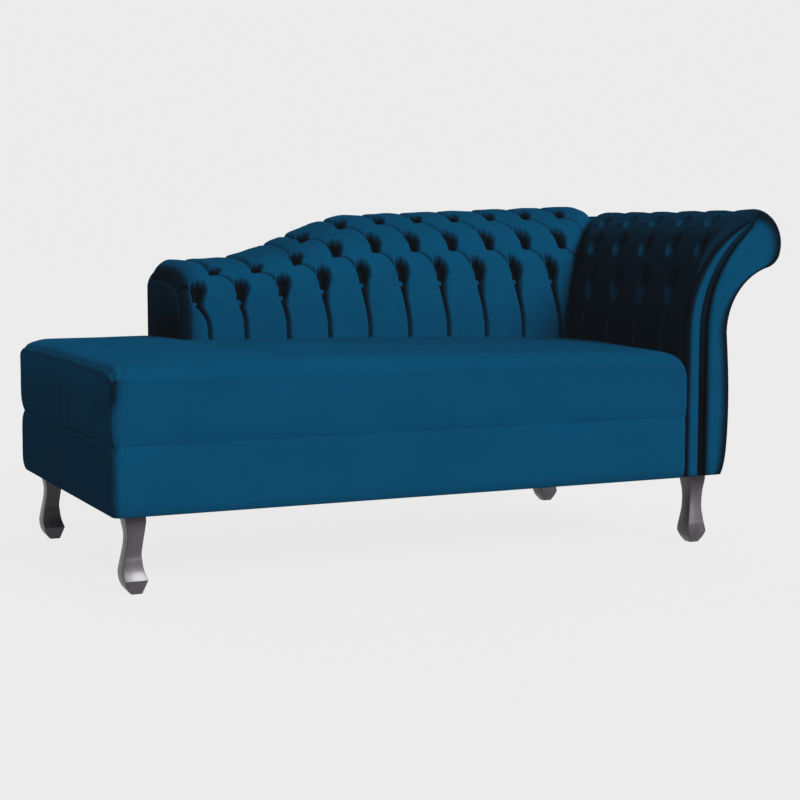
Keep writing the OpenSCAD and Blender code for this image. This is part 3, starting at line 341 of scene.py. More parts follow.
def sheet_faces(rows, cols, first=0, loop=False, flip=False):
    """The quads of a grid of points. With loop, the last column joins the first."""
    faces = []
    for r in range(rows - 1):
        for c in range(cols if loop else cols - 1):
            d = (c + 1) % cols
            quad = (first + r * cols + c, first + r * cols + d,
                    first + (r + 1) * cols + d, first + (r + 1) * cols + c)
            faces.append(quad[::-1] if flip else quad)
    return faces


def velvet_sheet(name, grid, flip=False):
    """A velvet piece from a grid of points, rows by columns."""
    return mesh_piece(name, grid.reshape(-1, 3), sheet_faces(*grid.shape[:2], flip=flip), cloth)


# Each point of the border's line on plan, with the way that it faces. Both ends are folded in
path = [(arm_x, front_y + fold, 0, -1) for fold in end_folds[::-1]]
path += [(x, front_y, 0, -1)
         for x in np.arange(arm_x - end_folds[0], open_x + corner_round + 0.006, -border_step)]
for centre_y, start in ((front_y + corner_round, 270), (rear_y - corner_round, 180)):
    for turn in np.radians(np.linspace(start, start - 90, 15)):
        path.append((open_x + corner_round * (1 + math.cos(turn)), centre_y + corner_round * math.sin(turn),
                     math.cos(turn), math.sin(turn)))
    if start == 270:
        path += [(open_x, y, -1, 0)
                 for y in np.arange(front_y + past_corner, rear_y - 0.030, border_step)]
path += [(x, rear_y, 0, 1) for x in np.arange(open_x + past_corner, back_x - 0.006, border_step)]
path += [(back_x - seam_gap, rear_y - fold, 0, 1) for fold in end_folds]
path = np.array(path)
run = np.concatenate([[0], np.cumsum(np.hypot(*np.diff(path[:, :2], axis=0).T))])
border_rows = np.concatenate([[-0.03, 0], np.linspace(0.015, 0.985, 34), [1, 1.03]])
# How far each point faces the open end, whose top edge turns in further and which gets painted shade
end_facing = smooth((-path[:, 2] - 0.25) / 0.6)
rows, shade = [], []
for level in border_rows:
    # The first and the last row lie behind the edges, where the strip is stapled
    t = min(max(level, 0), 1)
    tucked = 0.020 if level != t else 0
    edge = abs(2 * t - 1) ** 6
    rolled_in = np.where(t > 0.5, 0.0020 + 0.0048 * end_facing, 0.0068)
    wave = 0.0006 * ripple(run * 3, t * 0.6, 3) * (1 - edge)
    depth = 0.0005 + rolled_in * edge + tucked + 0.0007 - wave
    z = base_z + (seam_z - base_z) * t
    rows.append([(x - d * way_x, y - d * way_y, z) for (x, y, way_x, way_y), d in zip(path, depth)])
    # Painted shade over the open end, less of it along the top edge
    shade.append(0.43 * end_facing * (1 - 0.75 * smooth((t - 0.93) / 0.05)))
border = velvet_sheet("padded_border", np.array(rows), flip=True)
paint_shade(border, shade)
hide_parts("base_border")


# Seat: one long foam seat under velvet, pulled down and stapled along the seam at the base. The
# front rolls over without a seam; the open end is a panel of its own, sewn in along its top and corners.

seat_back_y = 0.1237
nose_r = 0.046
open_r = 0.026
end_seam_in = 0.009
seat_edge_z = seam_z + 0.150
crown_h, fall_h, swell_h = 0.018, 0.008, 0.013
end_seam_h, pull_h, pucker_h = 0.0030, 0.0018, 0.0030


def edge_round(d, r):
    """Drop of a quarter-round edge of radius r at a distance d from it."""
    q = np.clip(1 - d / r, 0, 1)
    return r * (1 - np.sqrt(np.maximum(0, 1 - q * q)))


def corner_weights(x, y, length):
    """Weights that are 1 on the open end and on the front or rear, and the part of a move that keeps
    the corner between them round."""
    end = np.clip(1 - (x - open_x) / length, 0, 1)
    side = np.clip(1 - (rear_y - np.abs(y)) / length, 0, 1)
    size = np.hypot(end, side)
    return end, side, np.where(size > 0, np.maximum(end, side) / np.maximum(size, 1e-9), 1.0)


def seat_height(x, y):
    """Height of the seat's top. Each term is one thing that shapes it."""
    along = np.clip((x - open_x) / (arm_x - open_x), 0, 1)
    over = np.clip((y - front_y) / (rear_y - front_y), 0, 1)
    crown = crown_h * np.sqrt(np.sin(np.pi * (0.06 + 0.88 * along)) * np.sin(np.pi * (0.08 + 0.84 * over)))
    fall = fall_h * along ** 3
    filled = 1 - 0.6 * np.exp(-np.maximum(x - open_x, 0) / 0.035)
    nose = edge_round(y - front_y, nose_r) * 0.8 * filled
    tail = edge_round(rear_y - y, nose_r) * 0.75
    # The foam stands proudest just behind the end panel's seam
    swell = swell_h * smooth((x - open_x + 0.01) / 0.07) * (1 - smooth((x - open_x - 0.2) / 0.4)) \
        * (0.35 + 0.65 * over)
    open_end = edge_round(x - open_x, open_r) * 0.70
    arm_end = edge_round(arm_x - x, 2 * nose_r) * 0.25 * (1 - smooth(over * 2))
    seam = end_seam_h * np.exp(-((x - open_x - end_seam_in) / 0.0035) ** 2)
    pull = pull_h * ripple(x * 1.6, y * 1.1, 11)
    # The sewn corner gathers the top into two short folds
    corner = np.exp(-((x - open_x - 0.03) / 0.030) ** 2 - ((y - front_y - 0.025) / 0.030) ** 2)
    pucker = pucker_h * corner * np.sin((x - open_x) * 210 - (y - front_y) * 90)
    return seat_edge_z + crown + swell - fall - nose - tail - open_end - arm_end - seam + pull + pucker


def crowded(start, end, r_start, r_end, step):
    """Grid lines from start to end, closer together over each rolled edge."""
    share = np.array([0, 0.02, 0.05, 0.1, 0.17, 0.25, 0.34, 0.44, 0.55, 0.68, 0.83])
    count = max(2, int((end - start - r_start - r_end) / step))
    middle = np.linspace(start + r_start, end - r_end, count)
    return np.concatenate([start + share * r_start, middle, (end - share * r_end)[::-1]])


# The cover is cut out behind seat_back_y, where the back stands on the base
notch_x = back_x - seam_gap
seat_xs = np.concatenate([crowded(open_x, notch_x, nose_r, 0.01, 0.008),
                          crowded(notch_x, arm_x, 0.01, 2 * nose_r, 0.010)[1:]])
seat_ys = np.concatenate([crowded(front_y, seat_back_y, nose_r, 0.01, 0.009),
                          crowded(seat_back_y, rear_y, 0.01, nose_r, 0.009)[1:]])
notch_i = int(np.argmin(abs(seat_xs - notch_x)))
notch_j = int(np.argmin(abs(seat_ys - seat_back_y)))
nx, ny = len(seat_xs), len(seat_ys)
rim = np.array([(i, 0) for i in range(nx)] + [(nx - 1, j) for j in range(1, notch_j + 1)]
               + [(i, notch_j) for i in range(nx - 2, notch_i - 1, -1)]
               + [(notch_i, j) for j in range(notch_j + 1, ny)]
               + [(i, ny - 1) for i in range(notch_i - 1, -1, -1)] + [(0, j) for j in range(ny - 2, 0, -1)])
grid_x, grid_y = np.meshgrid(seat_xs, seat_ys)
grid_z = seat_height(grid_x, grid_y)
end_w, side_w, part = corner_weights(grid_x, grid_y, corner_round)
plan_x = grid_x + (1 - part) * corner_round * end_w
plan_y = grid_y - np.sign(grid_y) * (1 - part) * corner_round * side_w
rows = [np.stack([plan_x, plan_y, grid_z], -1).reshape(-1, 3)]
# Painted shade on the seat's top: a dark line along the end seam, the top darkening towards the arm, and more
# on the open end's rolled edge
seam_line = np.exp(-((grid_x - open_x - end_seam_in) / 0.004) ** 2)
top_painted_shade = 0.10 * smooth((grid_x - open_x) / 1.3)
shades = [(top_painted_shade + 0.25 * seam_line + 0.20 * smooth((0.012 - grid_x + open_x) / 0.010)).ravel()]
faces = [(j * nx + i, j * nx + i + 1, (j + 1) * nx + i + 1, (j + 1) * nx + i)
         for j in range(ny - 1) for i in range(nx - 1) if i + 1 <= notch_i or j + 1 <= notch_j]
side_levels = np.concatenate([[0.99, 0.97, 0.94, 0.90], np.linspace(0.85, 0.15, 15),
                              [0.11, 0.075, 0.045, 0.02, 0.006, 0]])
rx, ry = seat_xs[rim[:, 0]], seat_ys[rim[:, 1]]
rim_x, rim_y, rim_top = (grid[rim[:, 1], rim[:, 0]] for grid in (plan_x, plan_y, grid_z))
end_w, side_w, part = corner_weights(rx, ry, nose_r)
on_end, on_front = rim[:, 0] == 0, rim[:, 1] == 0
near_front = smooth((0.16 - (ry - front_y)) / 0.16)
faces_end = smooth((end_w / np.maximum(np.hypot(end_w, side_w), 1e-9) - 0.5) / 0.4) * (end_w > 0.3)
# Sewn corner: the seam pulls a short fold in down the edge from the top
corner = np.exp(-(np.hypot(rx - open_x, ry - front_y) / 0.016) ** 2)
last = rim[:, 1] * nx + rim[:, 0]
count = len(rim)
side_foot_z = seam_z + seam_gap
for level in side_levels:
    soft = math.sin(math.pi * level)
    draw = np.where(on_front, 0.0030, 0.0080) * (1 - level) ** 7
    slack = 0.0016 * np.sin((ry + 0.03 * level) * 75 + 2 * np.sin(ry * 16)) * soft \
        + 0.0022 * near_front * smooth((level - 0.45) / 0.3) * np.sin((ry - front_y) * 160 + 1.2)
    face = 0.0010 * soft * (1 + ripple(rx * 2.2, level * 0.4, 21))
    bulge = np.where(on_end, 0.0014 * soft + slack, np.where(on_front, face, 0.0))
    bulge = bulge - 0.0045 * corner * smooth((level - 0.55) / 0.3)
    move = (draw - bulge) * part
    z = side_foot_z + (rim_top - side_foot_z) * level
    rows.append(np.stack([rim_x + move * end_w, rim_y - np.sign(ry) * move * side_w, z], -1))
    # Painted shade on the sides: the open end is darker as it faces away from the key light, less so at its
    # top and more at its foot, with painted light and dark streaks near the front, a little near the top of
    # the front and rear, and more in the sewn corner fold
    streaks = 0.14 * near_front * np.sin((ry - front_y) * 190 + 0.6 + level) * smooth((level - 0.35) / 0.4)
    end_painted_shade = 0.27 - 0.05 * level - 0.22 * smooth((level - 0.60) / 0.30) + streaks
    shades.append(0.03 * (1 - faces_end) * smooth((level - 0.8) / 0.2) + faces_end * end_painted_shade
                  + 0.75 * corner * smooth((level - 0.45) / 0.3)
                  + 0.35 * faces_end * smooth((0.035 - level) / 0.03))
    ring = sum(len(row) for row in rows[:-1]) + np.arange(count)
    faces += [(last[k], ring[k], ring[m], last[m]) for k, m in enumerate(np.roll(np.arange(count), -1))]
    last = ring
points, shades = np.concatenate(rows), np.concatenate(shades)
# Grid points in the cut-out belong to no face
keep = sorted({int(i) for f in faces for i in f})
index = {old: new for new, old in enumerate(keep)}
seat = mesh_piece("seat_velvet", points[keep], [[index[int(i)] for i in f] for f in faces],
                  cloth)
paint_shade(seat, shades[keep])
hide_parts("seat_cover")


# Back: deep-buttoned stuffing. Foam and fibre over the frame are drawn down by twine at each button,
# and the velvet's fullness is folded into pleats that run from button to button.

roll_z = 0.488
back_in_x = back_x + 0.012
back_y, spine_y = 0.124, 0.397
back_reach = spine_y - back_y
head_x, head_z, head_r = 0.720, 0.690, 0.080
arm_face_x = 0.533
mitre_off = arm_face_x - back_y
low_row = ((0, 1, 2, 3, 4), (0, 0.145, 0.50, 0.75, 1))
high_row = ((0, 1, 2, 3, 4), (0, 0.24, 0.455, 0.745, 1))
back_pitch, back_first = 0.105, 0.035
tuft_depth = 0.032
end_edge_r = 0.048
pad_foot_z = seam_z + seam_gap
ridge_low_z = seam_z + 0.349
# The stuffing stands a little fuller at its high end than the solid does, and steps up a little later
back_high_z = head_z + head_r + 0.020


def step_at(x):
    return smooth((x - back_x - 0.120) / 0.400)


def ridge_z(x):
    """Height of the back's ridge: an S-shaped step on top of a long, even rise."""
    step = smooth((x - back_x - 0.158) / 0.372)
    even = np.clip((x - back_x) / (head_x - back_x), 0, 1)
    return ridge_low_z + (back_high_z - ridge_low_z) * (0.66 * step + 0.34 * even)


def back_turn(x, v):
    """How far round the roll a point lies. On the back and the arm, v runs up the stuffing: -1 at the
    seat, 0 where the roll starts, 1, 2 and 3 at the rows of buttons, and 4 at the ridge."""
    low, high = np.interp(v, *low_row), np.interp(v, *high_row)
    return np.pi / 2 * (low + (high - low) * step_at(x))


def back_place(x, v, inset):
    """A point of the back at a depth under its smooth skin."""
    turn = back_turn(x, np.maximum(v, 0))
    power = (ridge_z(x) - roll_z) / (back_high_z - roll_z)
    reach = back_reach - inset
    y = np.where(v < 0, spine_y - reach, spine_y - reach * np.cos(turn) ** power)
    z = np.where(v < 0, pad_foot_z + (roll_z - pad_foot_z) * (np.minimum(v, 0) + 1),
                 roll_z + (ridge_z(x) - roll_z - inset) * np.sin(turn) ** power)
    return np.stack(np.broadcast_arrays(x, y, z), -1)


def back_mitre_x(v, inset=0.0):
    """Where the back meets the arm."""
    y = spine_y - (back_reach - inset) * np.cos(back_turn(head_x, np.maximum(v, 0)))
    return np.minimum(y + mitre_off, head_x) - seam_gap


def stagger(row):
    """The second row of buttons stands half a pitch to the side of the others."""
    return 0.5 if row == 2 else 0.0


def stuffed_inset(s, v, last_row, pitch, row_gap, lean, seed):
    """How deep the velvet lies under the smooth skin, and how much painted shade its pockets and its pleats
    get.

    Above each button is a pocket, upright and sharp on its left and soft on its right. A fine pleat
    leaves the button's right side and curls down to the next row. Below row 1 the pleats run to the seat."""
    pocket, pleat, soft = np.zeros(s.shape), np.zeros(s.shape), np.zeros(s.shape)
    near, angle = np.full(s.shape, 1e3), np.zeros(s.shape)
    for k in range(1, last_row + 1):
        across = (s - stagger(k) + 0.3) % 1 - 0.3
        up = v - k
        tall = 0.82 if k == 1 else 0.66
        rise = np.clip(up / tall, 0, 1)
        width = 0.21 + 0.11 * smooth(rise / 0.4) - 0.08 * smooth((rise - 0.5) / 0.5)
        fringe = 0.05 * (np.sin(across * 55 + seed) + np.sin(s * 13 + k)) * smooth((rise - 0.3) / 0.4)
        depth = smooth((up + 0.07) / 0.10) * (1 - smooth((rise + fringe - 0.50) / 0.45))
        depth = depth * (1 - smooth((across / width - 0.35) / 0.65)) * smooth(across / 0.045 + 1)
        pocket = np.maximum(pocket, depth)
        far = np.hypot(across * pitch, up * row_gap)
        angle = np.where(far < near, np.arctan2(up * row_gap, across * pitch), angle)
        near = np.minimum(near, far)
        if k < last_row:
            # Quarter-round pleat from this row's button, upright, to the one above it, level
            rise = np.clip(up, 0, 0.9999)
            bend = (1 - np.sqrt(1 - rise * rise)) / 2
            slope = rise / (2 * np.sqrt(1 - rise * rise)) * pitch / row_gap
            aside = ((s - stagger(k) + bend + 0.5) % 1 - 0.5) * pitch / np.sqrt(1 + slope * slope)
            between = (up > 0) & (up < 1)
            pleat = np.maximum(pleat, between * np.exp(-(aside / 0.0024) ** 2) * 0.28)
            soft = np.maximum(soft, between * np.exp(-np.abs(aside) / 0.012))
    below = smooth((1 - v) / 0.95)
    across = (s - lean * smooth((1 - v) / 1.15) + 0.3) % 1 - 0.3
    low = (v < 1) * (1 - 0.45 * below) * (1 - smooth(across / (0.235 - 0.12 * smooth((1 - v) / 0.5)))) \
        * smooth(across / 0.035 + 1)
    above = smooth((v - last_row) / 0.9)
    across = (s - stagger(last_row) + 0.5) % 1 - 0.5
    top = (v >= last_row) * np.exp(-(across / np.where(across > 0, 0.060, 0.035)) ** 2)
    ridged = np.abs(1 - 2 * np.abs(across)) ** 3
    crown = smooth((v - last_row) / 0.5) * (1 - np.sqrt(np.maximum(0, 1 - ridged)))
    depth = np.maximum(np.maximum(pocket * 0.95, low * 0.62), np.maximum(pleat, top * (0.42 - 0.12 * above)))
    gather = 0.0016 * np.sin(17 * angle + 2.5 * np.sin(3 * angle + seed)) \
        * smooth((np.sin(angle) - 0.1) / 0.5) * np.exp(-((near - 0.024) / 0.014) ** 2)
    slack = 0.0010 * ripple(s * 1.3, v * 0.9, seed) * (1 - depth)
    dome = 0.0022 * soft + 0.0030 * np.exp(-(near / 0.024) ** 2) + 0.0055 * crown
    inset = (tuft_depth - 0.002) * depth + dome * (1 - depth) + gather + slack + 0.0012
    shade = np.clip(1.9 * pocket, 0, 1), np.clip(1.8 * low, 0, 1), pleat * 2.0, top * 0.55 * (1 - 0.5 * above)
    return inset, shade


def fold_in(d):
    """How far the stuffing turns in at a distance d from the mitre."""
    return 0.020 * np.clip(1 - d / 0.040, 0, 1) ** 2


def clear_of_seat(v):
    """Share of the tufting that is left on the way down behind the seat."""
    return np.clip((v + 1) / 0.88, 0, 1)


def skirted(grid, inner, top=None):
    """Adds a turned-in edge to a sheet: a row of points under each side and, if given, at the top."""
    grid = np.concatenate([inner[:, :1], grid, inner[:, -1:]], axis=1)
    if top is not None:
        grid = np.concatenate([grid, np.concatenate([top[:, :1], top, top[:, -1:]], axis=1)], axis=0)
    return grid


v_rows = np.concatenate([np.linspace(-1, -0.15, 24)[:-1], np.linspace(-0.15, 4, 170)])
u_cols = np.linspace(0, 1, 430)
v_grid, u_grid = np.meshgrid(v_rows, u_cols, indexing="ij")
x_start = back_in_x + seam_gap
x_grid = x_start + (back_mitre_x(v_grid) - x_start) * u_grid
last_low_x = back_x + back_first + 2.5 * back_pitch
step_in = smooth((x_grid - last_low_x + 0.03) / 0.06)
s_grid = (x_grid - back_x - back_first) / back_pitch
clear = clear_of_seat(v_grid)
lean = 0.13 + 0.16 * smooth((back_x + 0.14 - x_grid) / 0.08)
low_inset, low_shade = stuffed_inset(s_grid, v_grid, 2, back_pitch, 0.075, lean, 5)
high_inset, high_shade = stuffed_inset(s_grid, v_grid, 3, back_pitch, 0.095, lean, 5)
ends = edge_round(x_grid - back_in_x, end_edge_r) + fold_in(back_mitre_x(v_grid) - x_grid)
deepest, skirt_in, mitre_reach = 0.049, 0.069, 0.05
inset = np.minimum(clear * (low_inset + (high_inset - low_inset) * step_in) + ends, deepest)
at_end = smooth((0.022 - x_grid + back_in_x) / 0.012)
at_mitre = smooth((0.012 - back_mitre_x(v_grid) + x_grid) / 0.012)
painted_fold_shade = np.max(low_shade, 0) * (1 - step_in) + np.max(high_shade, 0) * step_in
# Painted shade: dark pockets and pleats, darker on the open end's rounding and at the mitre, and a little
# darker higher up the back
shade = 0.90 * clear * painted_fold_shade + 0.7 * at_end \
    + 0.06 * smooth(v_grid) + 0.12 * smooth((v_grid - 2.0) / 1.5) + 0.5 * at_mitre
# The last few centimetres are drawn out to meet the arm on the mitre
mitre_share = smooth(1 - (back_mitre_x(v_grid) - x_grid) / mitre_reach)
x_grid = x_grid + (back_mitre_x(v_grid, inset) - back_mitre_x(v_grid)) * mitre_share
surface = back_place(x_grid, v_grid, inset)
under = np.stack([back_place(x_grid[:, 0], v_rows, skirt_in),
                  back_place(back_mitre_x(v_rows, skirt_in), v_rows, skirt_in)], 1)
edge_top = surface[-1:] - np.array([0, 0, 0.030])
surface = skirted(surface, under, edge_top)
shade = np.pad(shade, ((0, 1), (1, 1)), mode="edge")
back = velvet_sheet("buttoned_back", surface)
paint_shade(back, shade)
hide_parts("back_pad")


# Covered buttons: a tin shell pressed over a circle of the same velvet, with its gathers underneath,
# drawn into the stuffing by waxed twine.

button_cloth = velvet("button_velvet", (0.0002, 0.014, 0.032), (0.0003, 0.018, 0.042),
                      (0.0004, 0.026, 0.060), 0.00012)
button_aside, mitre_clear = 0.004, 0.020


def cover_buttons(places, name, replaced):
    """Turns a button's profile at each place, which gives the bottom of its pit and the way out."""
    points, faces = [], []
    profile = [(0.0018, 0.0035), (0.0050, 0.0102), (0.0066, 0.0125), (0.0070, 0.0140), (0.0064, 0.0154),
               (0.0048, 0.0165), (0.0025, 0.0172), (0.0008, 0.0174)]
    turns = 24
    for pit, out in places:
        out = Vector(out).normalized()
        side = out.cross(Vector((0, 0, 1))).normalized()
        up = side.cross(out)
        first = len(points)
        for r, h in profile:
            for k in range(turns):
                a = 2 * math.pi * k / turns
                gather = 1 + 0.05 * math.cos(7 * a) * (h < 0.0150)
                points.append(Vector(pit) + out * h + (side * math.cos(a) + up * math.sin(a)) * r * gather)
        faces += sheet_faces(len(profile), turns, first, loop=True)
        faces.append(list(range(first + (len(profile) - 1) * turns, first + len(profile) * turns)))
        faces.append(list(range(first, first + turns))[::-1])
    piece = mesh_piece(name, points, faces, button_cloth)
    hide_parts(replaced)


places = []
for row in (1, 2, 3):
    for i in range(14):
        x = back_x + back_first + (i + stagger(row)) * back_pitch
        if back_in_x + back_first / 2 < x < back_mitre_x(row) - mitre_clear \
                and row <= (3 if x > last_low_x else 2):
            extra = edge_round(x - back_in_x, end_edge_r)
            pit = back_place(x + button_aside, row, tuft_depth + extra)
            places.append((pit, back_place(x + button_aside, row, extra) - pit))
cover_buttons(places, "back_covered_buttons", "back_buttons")


# Back's end panel: velvet over a thin pad on the last rib. It is cut to the back's section and sewn
# to the stuffing round its curved edge.

end_in = end_edge_r - 0.0005
end_rear_y, end_foot_z = spine_y + 0.002, pad_foot_z + 0.002
outline = [(end_rear_y, end_foot_z), (back_y + end_in, end_foot_z)]
for v in np.linspace(-0.96, 4, 70):
    x, y, z = back_place(back_in_x, v, end_in)
    outline.append((min(y, end_rear_y), z))
outline = np.array(outline)
outline[-1, 0] = end_rear_y
centre = np.array([spine_y - 0.085, 0.46])
rings = np.array([1, 0.985, 0.96, 0.92, 0.85, 0.75, 0.62, 0.47, 0.32, 0.18, 0.06])
points, shade = [], []
for share in rings:
    swell = 0.0112 * (1 - share ** 9) ** 0.5
    for y, z in centre + (outline - centre) * share:
        points.append((back_in_x - swell - 0.0006 * ripple(y * 5, z * 5, 9) * (1 - share), y, z))
        # Painted shade on the end panel, which faces away from the key light, and more below the seat's
        # height
        shade.append(0.70 + 0.26 * smooth((0.56 - z) / 0.08))
faces = sheet_faces(len(rings), len(outline), loop=True)
faces.append(list(range((len(rings) - 1) * len(outline), len(rings) * len(outline))))
end_panel = mesh_piece("back_end_panel", points, faces, cloth)
paint_shade(end_panel, shade)
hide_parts("back_end_cover")


# Outside back: one flat panel of velvet from the open end of the back to the scroll, blind-stapled
# along the ridge and pulled down under the base.

roll_x, neck_r = 0.806, 0.154
neck_gap = math.hypot(roll_x - head_x, roll_z - head_z)
arm_out_x = roll_x - neck_r
head_steps = 40


def side_x(t):
    """The arm's outer side at a share of the height from its foot to the neck."""
    return arm_out_x + 0.008 * np.sin(np.pi * t) - 0.011 * (1 - t) ** 14


def kink(head, neck):
    """Angles of the place where the head runs into the hollow of the neck, on each circle."""
    a = math.atan2(roll_z - head_z, roll_x - head_x) \
        + math.acos((head * head + neck_gap * neck_gap - neck * neck) / (2 * head * neck_gap))
    b = math.atan2(head_z + head * math.sin(a) - roll_z, head_x + head * math.cos(a) - roll_x)
    return a, b


def arc(x, z, r, turns):
    """Points at the given angles on a circle in X and Z."""
    return [(x + r * math.cos(t), z + r * math.sin(t)) for t in turns]


def eased(line, corner, reach=0.022):
    """The same line with the sharp corner at one of its points rounded off by the padding."""
    line = np.array(line, float)
    at = np.concatenate([[0], np.cumsum(np.hypot(*np.diff(line, axis=0).T))])
    at -= at[corner]
    start, end = (np.array([np.interp(side * reach, at, line[:, k]) for k in (0, 1)]) for side in (-1, 1))
    near = np.abs(at) < reach
    t = (at[near, None] / reach + 1) / 2
    line[near] = (1 - t) ** 2 * start + 2 * t * (1 - t) * line[corner] + t ** 2 * end
    return line


def side_levels_down(count=40):
    """Shares of the height up an arm's side, from its top down, closer together at its drawn-in foot."""
    return np.linspace(1, 0, count)[1:] ** 1.6


def head_side(inset, foot_z):
    """The scroll's outer outline, from the top of its head down to the foot of the arm's side."""
    a, b = kink(head_r - inset, neck_r + inset)
    out = arc(head_x, head_z, head_r - inset, np.linspace(math.pi / 2, a, head_steps))
    out += arc(roll_x, roll_z, neck_r + inset, np.linspace(b, math.pi, 24)[1:])
    out += [(side_x(t) - inset, foot_z + (roll_z - foot_z) * t) for t in side_levels_down()]
    return [tuple(p) for p in eased(out, head_steps - 1)]


def flat_panel(name, outline, y_out, y_in, ease, replaced, fold):
    """A flat velvet panel in X and Z with a softly rounded edge. Its painted shade is given by height."""
    edge = np.array(outline)
    side = np.roll(edge, -1, 0) - np.roll(edge, 1, 0)
    side /= np.maximum(np.linalg.norm(side, axis=1, keepdims=True), 1e-9)
    xs, zs = edge.T
    area = np.sum(xs * np.roll(zs, -1) - np.roll(xs, -1) * zs)
    inward = np.stack([-side[:, 1], side[:, 0]], -1) * (1 if area > 0 else -1)
    out = 1 if y_out > y_in else -1
    rings = [(0, y_in), (0, y_out - out * ease), (ease * 0.3, y_out - out * ease * 0.3), (ease, y_out)]
    points, count = [], len(edge)
    for shrink, y in rings:
        points += [(x, y, z) for x, z in edge + inward * shrink]
    faces = sheet_faces(len(rings), count, loop=True, flip=(out > 0) != (area > 0))
    faces.append(list(range((len(rings) - 1) * count, len(rings) * count)))
    piece = mesh_piece(name, points, faces, cloth)
    piece.data.set_sharp_from_angle(angle=math.radians(20))
    paint_shade(piece, [fold(z) for x, y, z in points])
    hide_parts(replaced)


ridge_xs = np.concatenate([back_x + end_edge_r * np.linspace(0, 1, 14)[:-1] ** 2,
                           np.linspace(back_x + end_edge_r, head_x - 0.004, 90)])
ridge = [(x, ridge_z(x) - edge_round(x - back_x, end_edge_r) - tuft_depth * 0.55) for x in ridge_xs]
flat_panel("outside_back_panel", [(back_x, base_z)] + ridge + head_side(0, base_z), rear_y, spine_y, 0.0025,
           "back_outside_cover", lambda z: 0.0)


# Arm: the same buttoned stuffing carried round the corner. It is mitred into the back along a pleat,
# and rolls over the scroll as far as its crest.

roll_r = 0.273
crest = Vector((roll_x - head_x, head_z + head_r - roll_z))
crest_a = math.atan2(crest.y, crest.x)
crest_lift = crest.length - roll_r
arm_row = ((0, 1, 2, 3, 4), (0, 0.18, 0.43, 0.65, crest_a / (math.pi / 2)))
arm_pitch, arm_first = 0.116, 0.097
arm_front_y = -0.382
arm_lean = 0.13


def lift_at(turn):
    """How far the roll swells past a plain circle on its way up to the crest."""
    return crest_lift * smooth((turn / (math.pi / 2) - 0.22) / (0.66 - 0.22))


def arm_place(y, v, inset):
    """A point of the arm at a depth under its smooth skin."""
    turn = np.pi / 2 * np.interp(np.maximum(v, 0), *arm_row)
    r = roll_r + lift_at(turn) - inset
    x = np.where(v < 0, arm_face_x + inset, roll_x - r * np.cos(turn))
    z = np.where(v < 0, pad_foot_z + (roll_z - pad_foot_z) * (np.minimum(v, 0) + 1),
                 roll_z + r * np.sin(turn))
    return np.stack(np.broadcast_arrays(x, y, z), -1)


def arm_mitre_y(v, inset=0.0):
    """Where the arm meets the back."""
    return arm_place(0, v, inset)[..., 0] - mitre_off - seam_gap


def arm_depth(y, v):
    """Depth of the arm's stuffing, and its pockets and pleats. They are laid towards the rear."""
    deepest = 0.039
    tufted = clear_of_seat(v) * smooth((y - arm_front_y) / 0.040)
    inset, shade = stuffed_inset((y - front_y - arm_first) / arm_pitch, v, 3, arm_pitch, 0.100, arm_lean, 8)
    inset = tufted * inset + fold_in(arm_mitre_y(v) - y)
    return np.minimum(inset, deepest), [tufted * part for part in shade]


u_cols = np.linspace(0, 1, 230)
v_grid, u_grid = np.meshgrid(v_rows, u_cols, indexing="ij")
y_start = arm_front_y + seam_gap
y_grid = y_start + (arm_mitre_y(v_grid) - y_start) * u_grid
inset, (pockets, low, *_) = arm_depth(y_grid, v_grid)
mitre_share = smooth(1 - (arm_mitre_y(v_grid) - y_grid) / mitre_reach)
y_grid = y_grid + (arm_mitre_y(v_grid, inset) - arm_mitre_y(v_grid)) * mitre_share
surface = arm_place(y_grid, v_grid, inset)
skirt_in = 0.057
under = np.stack([arm_place(y_grid[:, 0], v_rows, skirt_in),
                  arm_place(arm_mitre_y(v_rows, skirt_in), v_rows, skirt_in)], 1)
surface = skirted(surface, under)
# Painted shade: this face turns away from the key light and is painted near black, a little less towards the
# top, with painted light where the pockets' soft sides meet their buttons, in the low pockets and along the
# pleats below row 1
tone = 0.81 - 0.17 * smooth((v_grid - 2.2) / 1.6)
above = np.where(v_grid < 1, 0, v_grid % 1)
across = ((y_grid - front_y - arm_first) / arm_pitch - arm_lean * smooth((1 - v_grid) / 1.15) + 0.5) % 1 - 0.5
pleat_line = (v_grid < 1) * np.exp(-((across - 0.045) / 0.028) ** 2) * (0.75 + 0.2 * smooth(v_grid))
pocket_foot = smooth(pockets / 0.35) * (1 - smooth((above - 0.12) / 0.30)) * (1 - 0.7 * smooth(v_grid - 2.1))
low_pocket = smooth((low - 0.20) / 0.66) * (0.10 + 0.9 * smooth((v_grid - 0.72) / 0.2))
painted_lit_facets = np.maximum(np.maximum(pocket_foot, low_pocket), pleat_line)
shade = np.pad(tone * (1 - 0.97 * painted_lit_facets), ((0, 0), (1, 1)), mode="edge")
arm = velvet_sheet("buttoned_arm", surface, flip=True)
paint_shade(arm, shade)
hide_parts("arm_pad")

places = []
for row in (1, 2, 3):
    for i in range(8):
        y = front_y + arm_first + (i + stagger(row)) * arm_pitch
        if y < arm_mitre_y(row) - mitre_clear:
            pit = arm_place(y + button_aside, row, tuft_depth)
            places.append((pit, arm_place(y + button_aside, row, 0.0) - pit))
cover_buttons(places, "arm_covered_buttons", "arm_buttons")


# Scroll: plain velvet over fibre. It is sewn on along the crest of the arm and pulled round the head
# to the hollow under it.

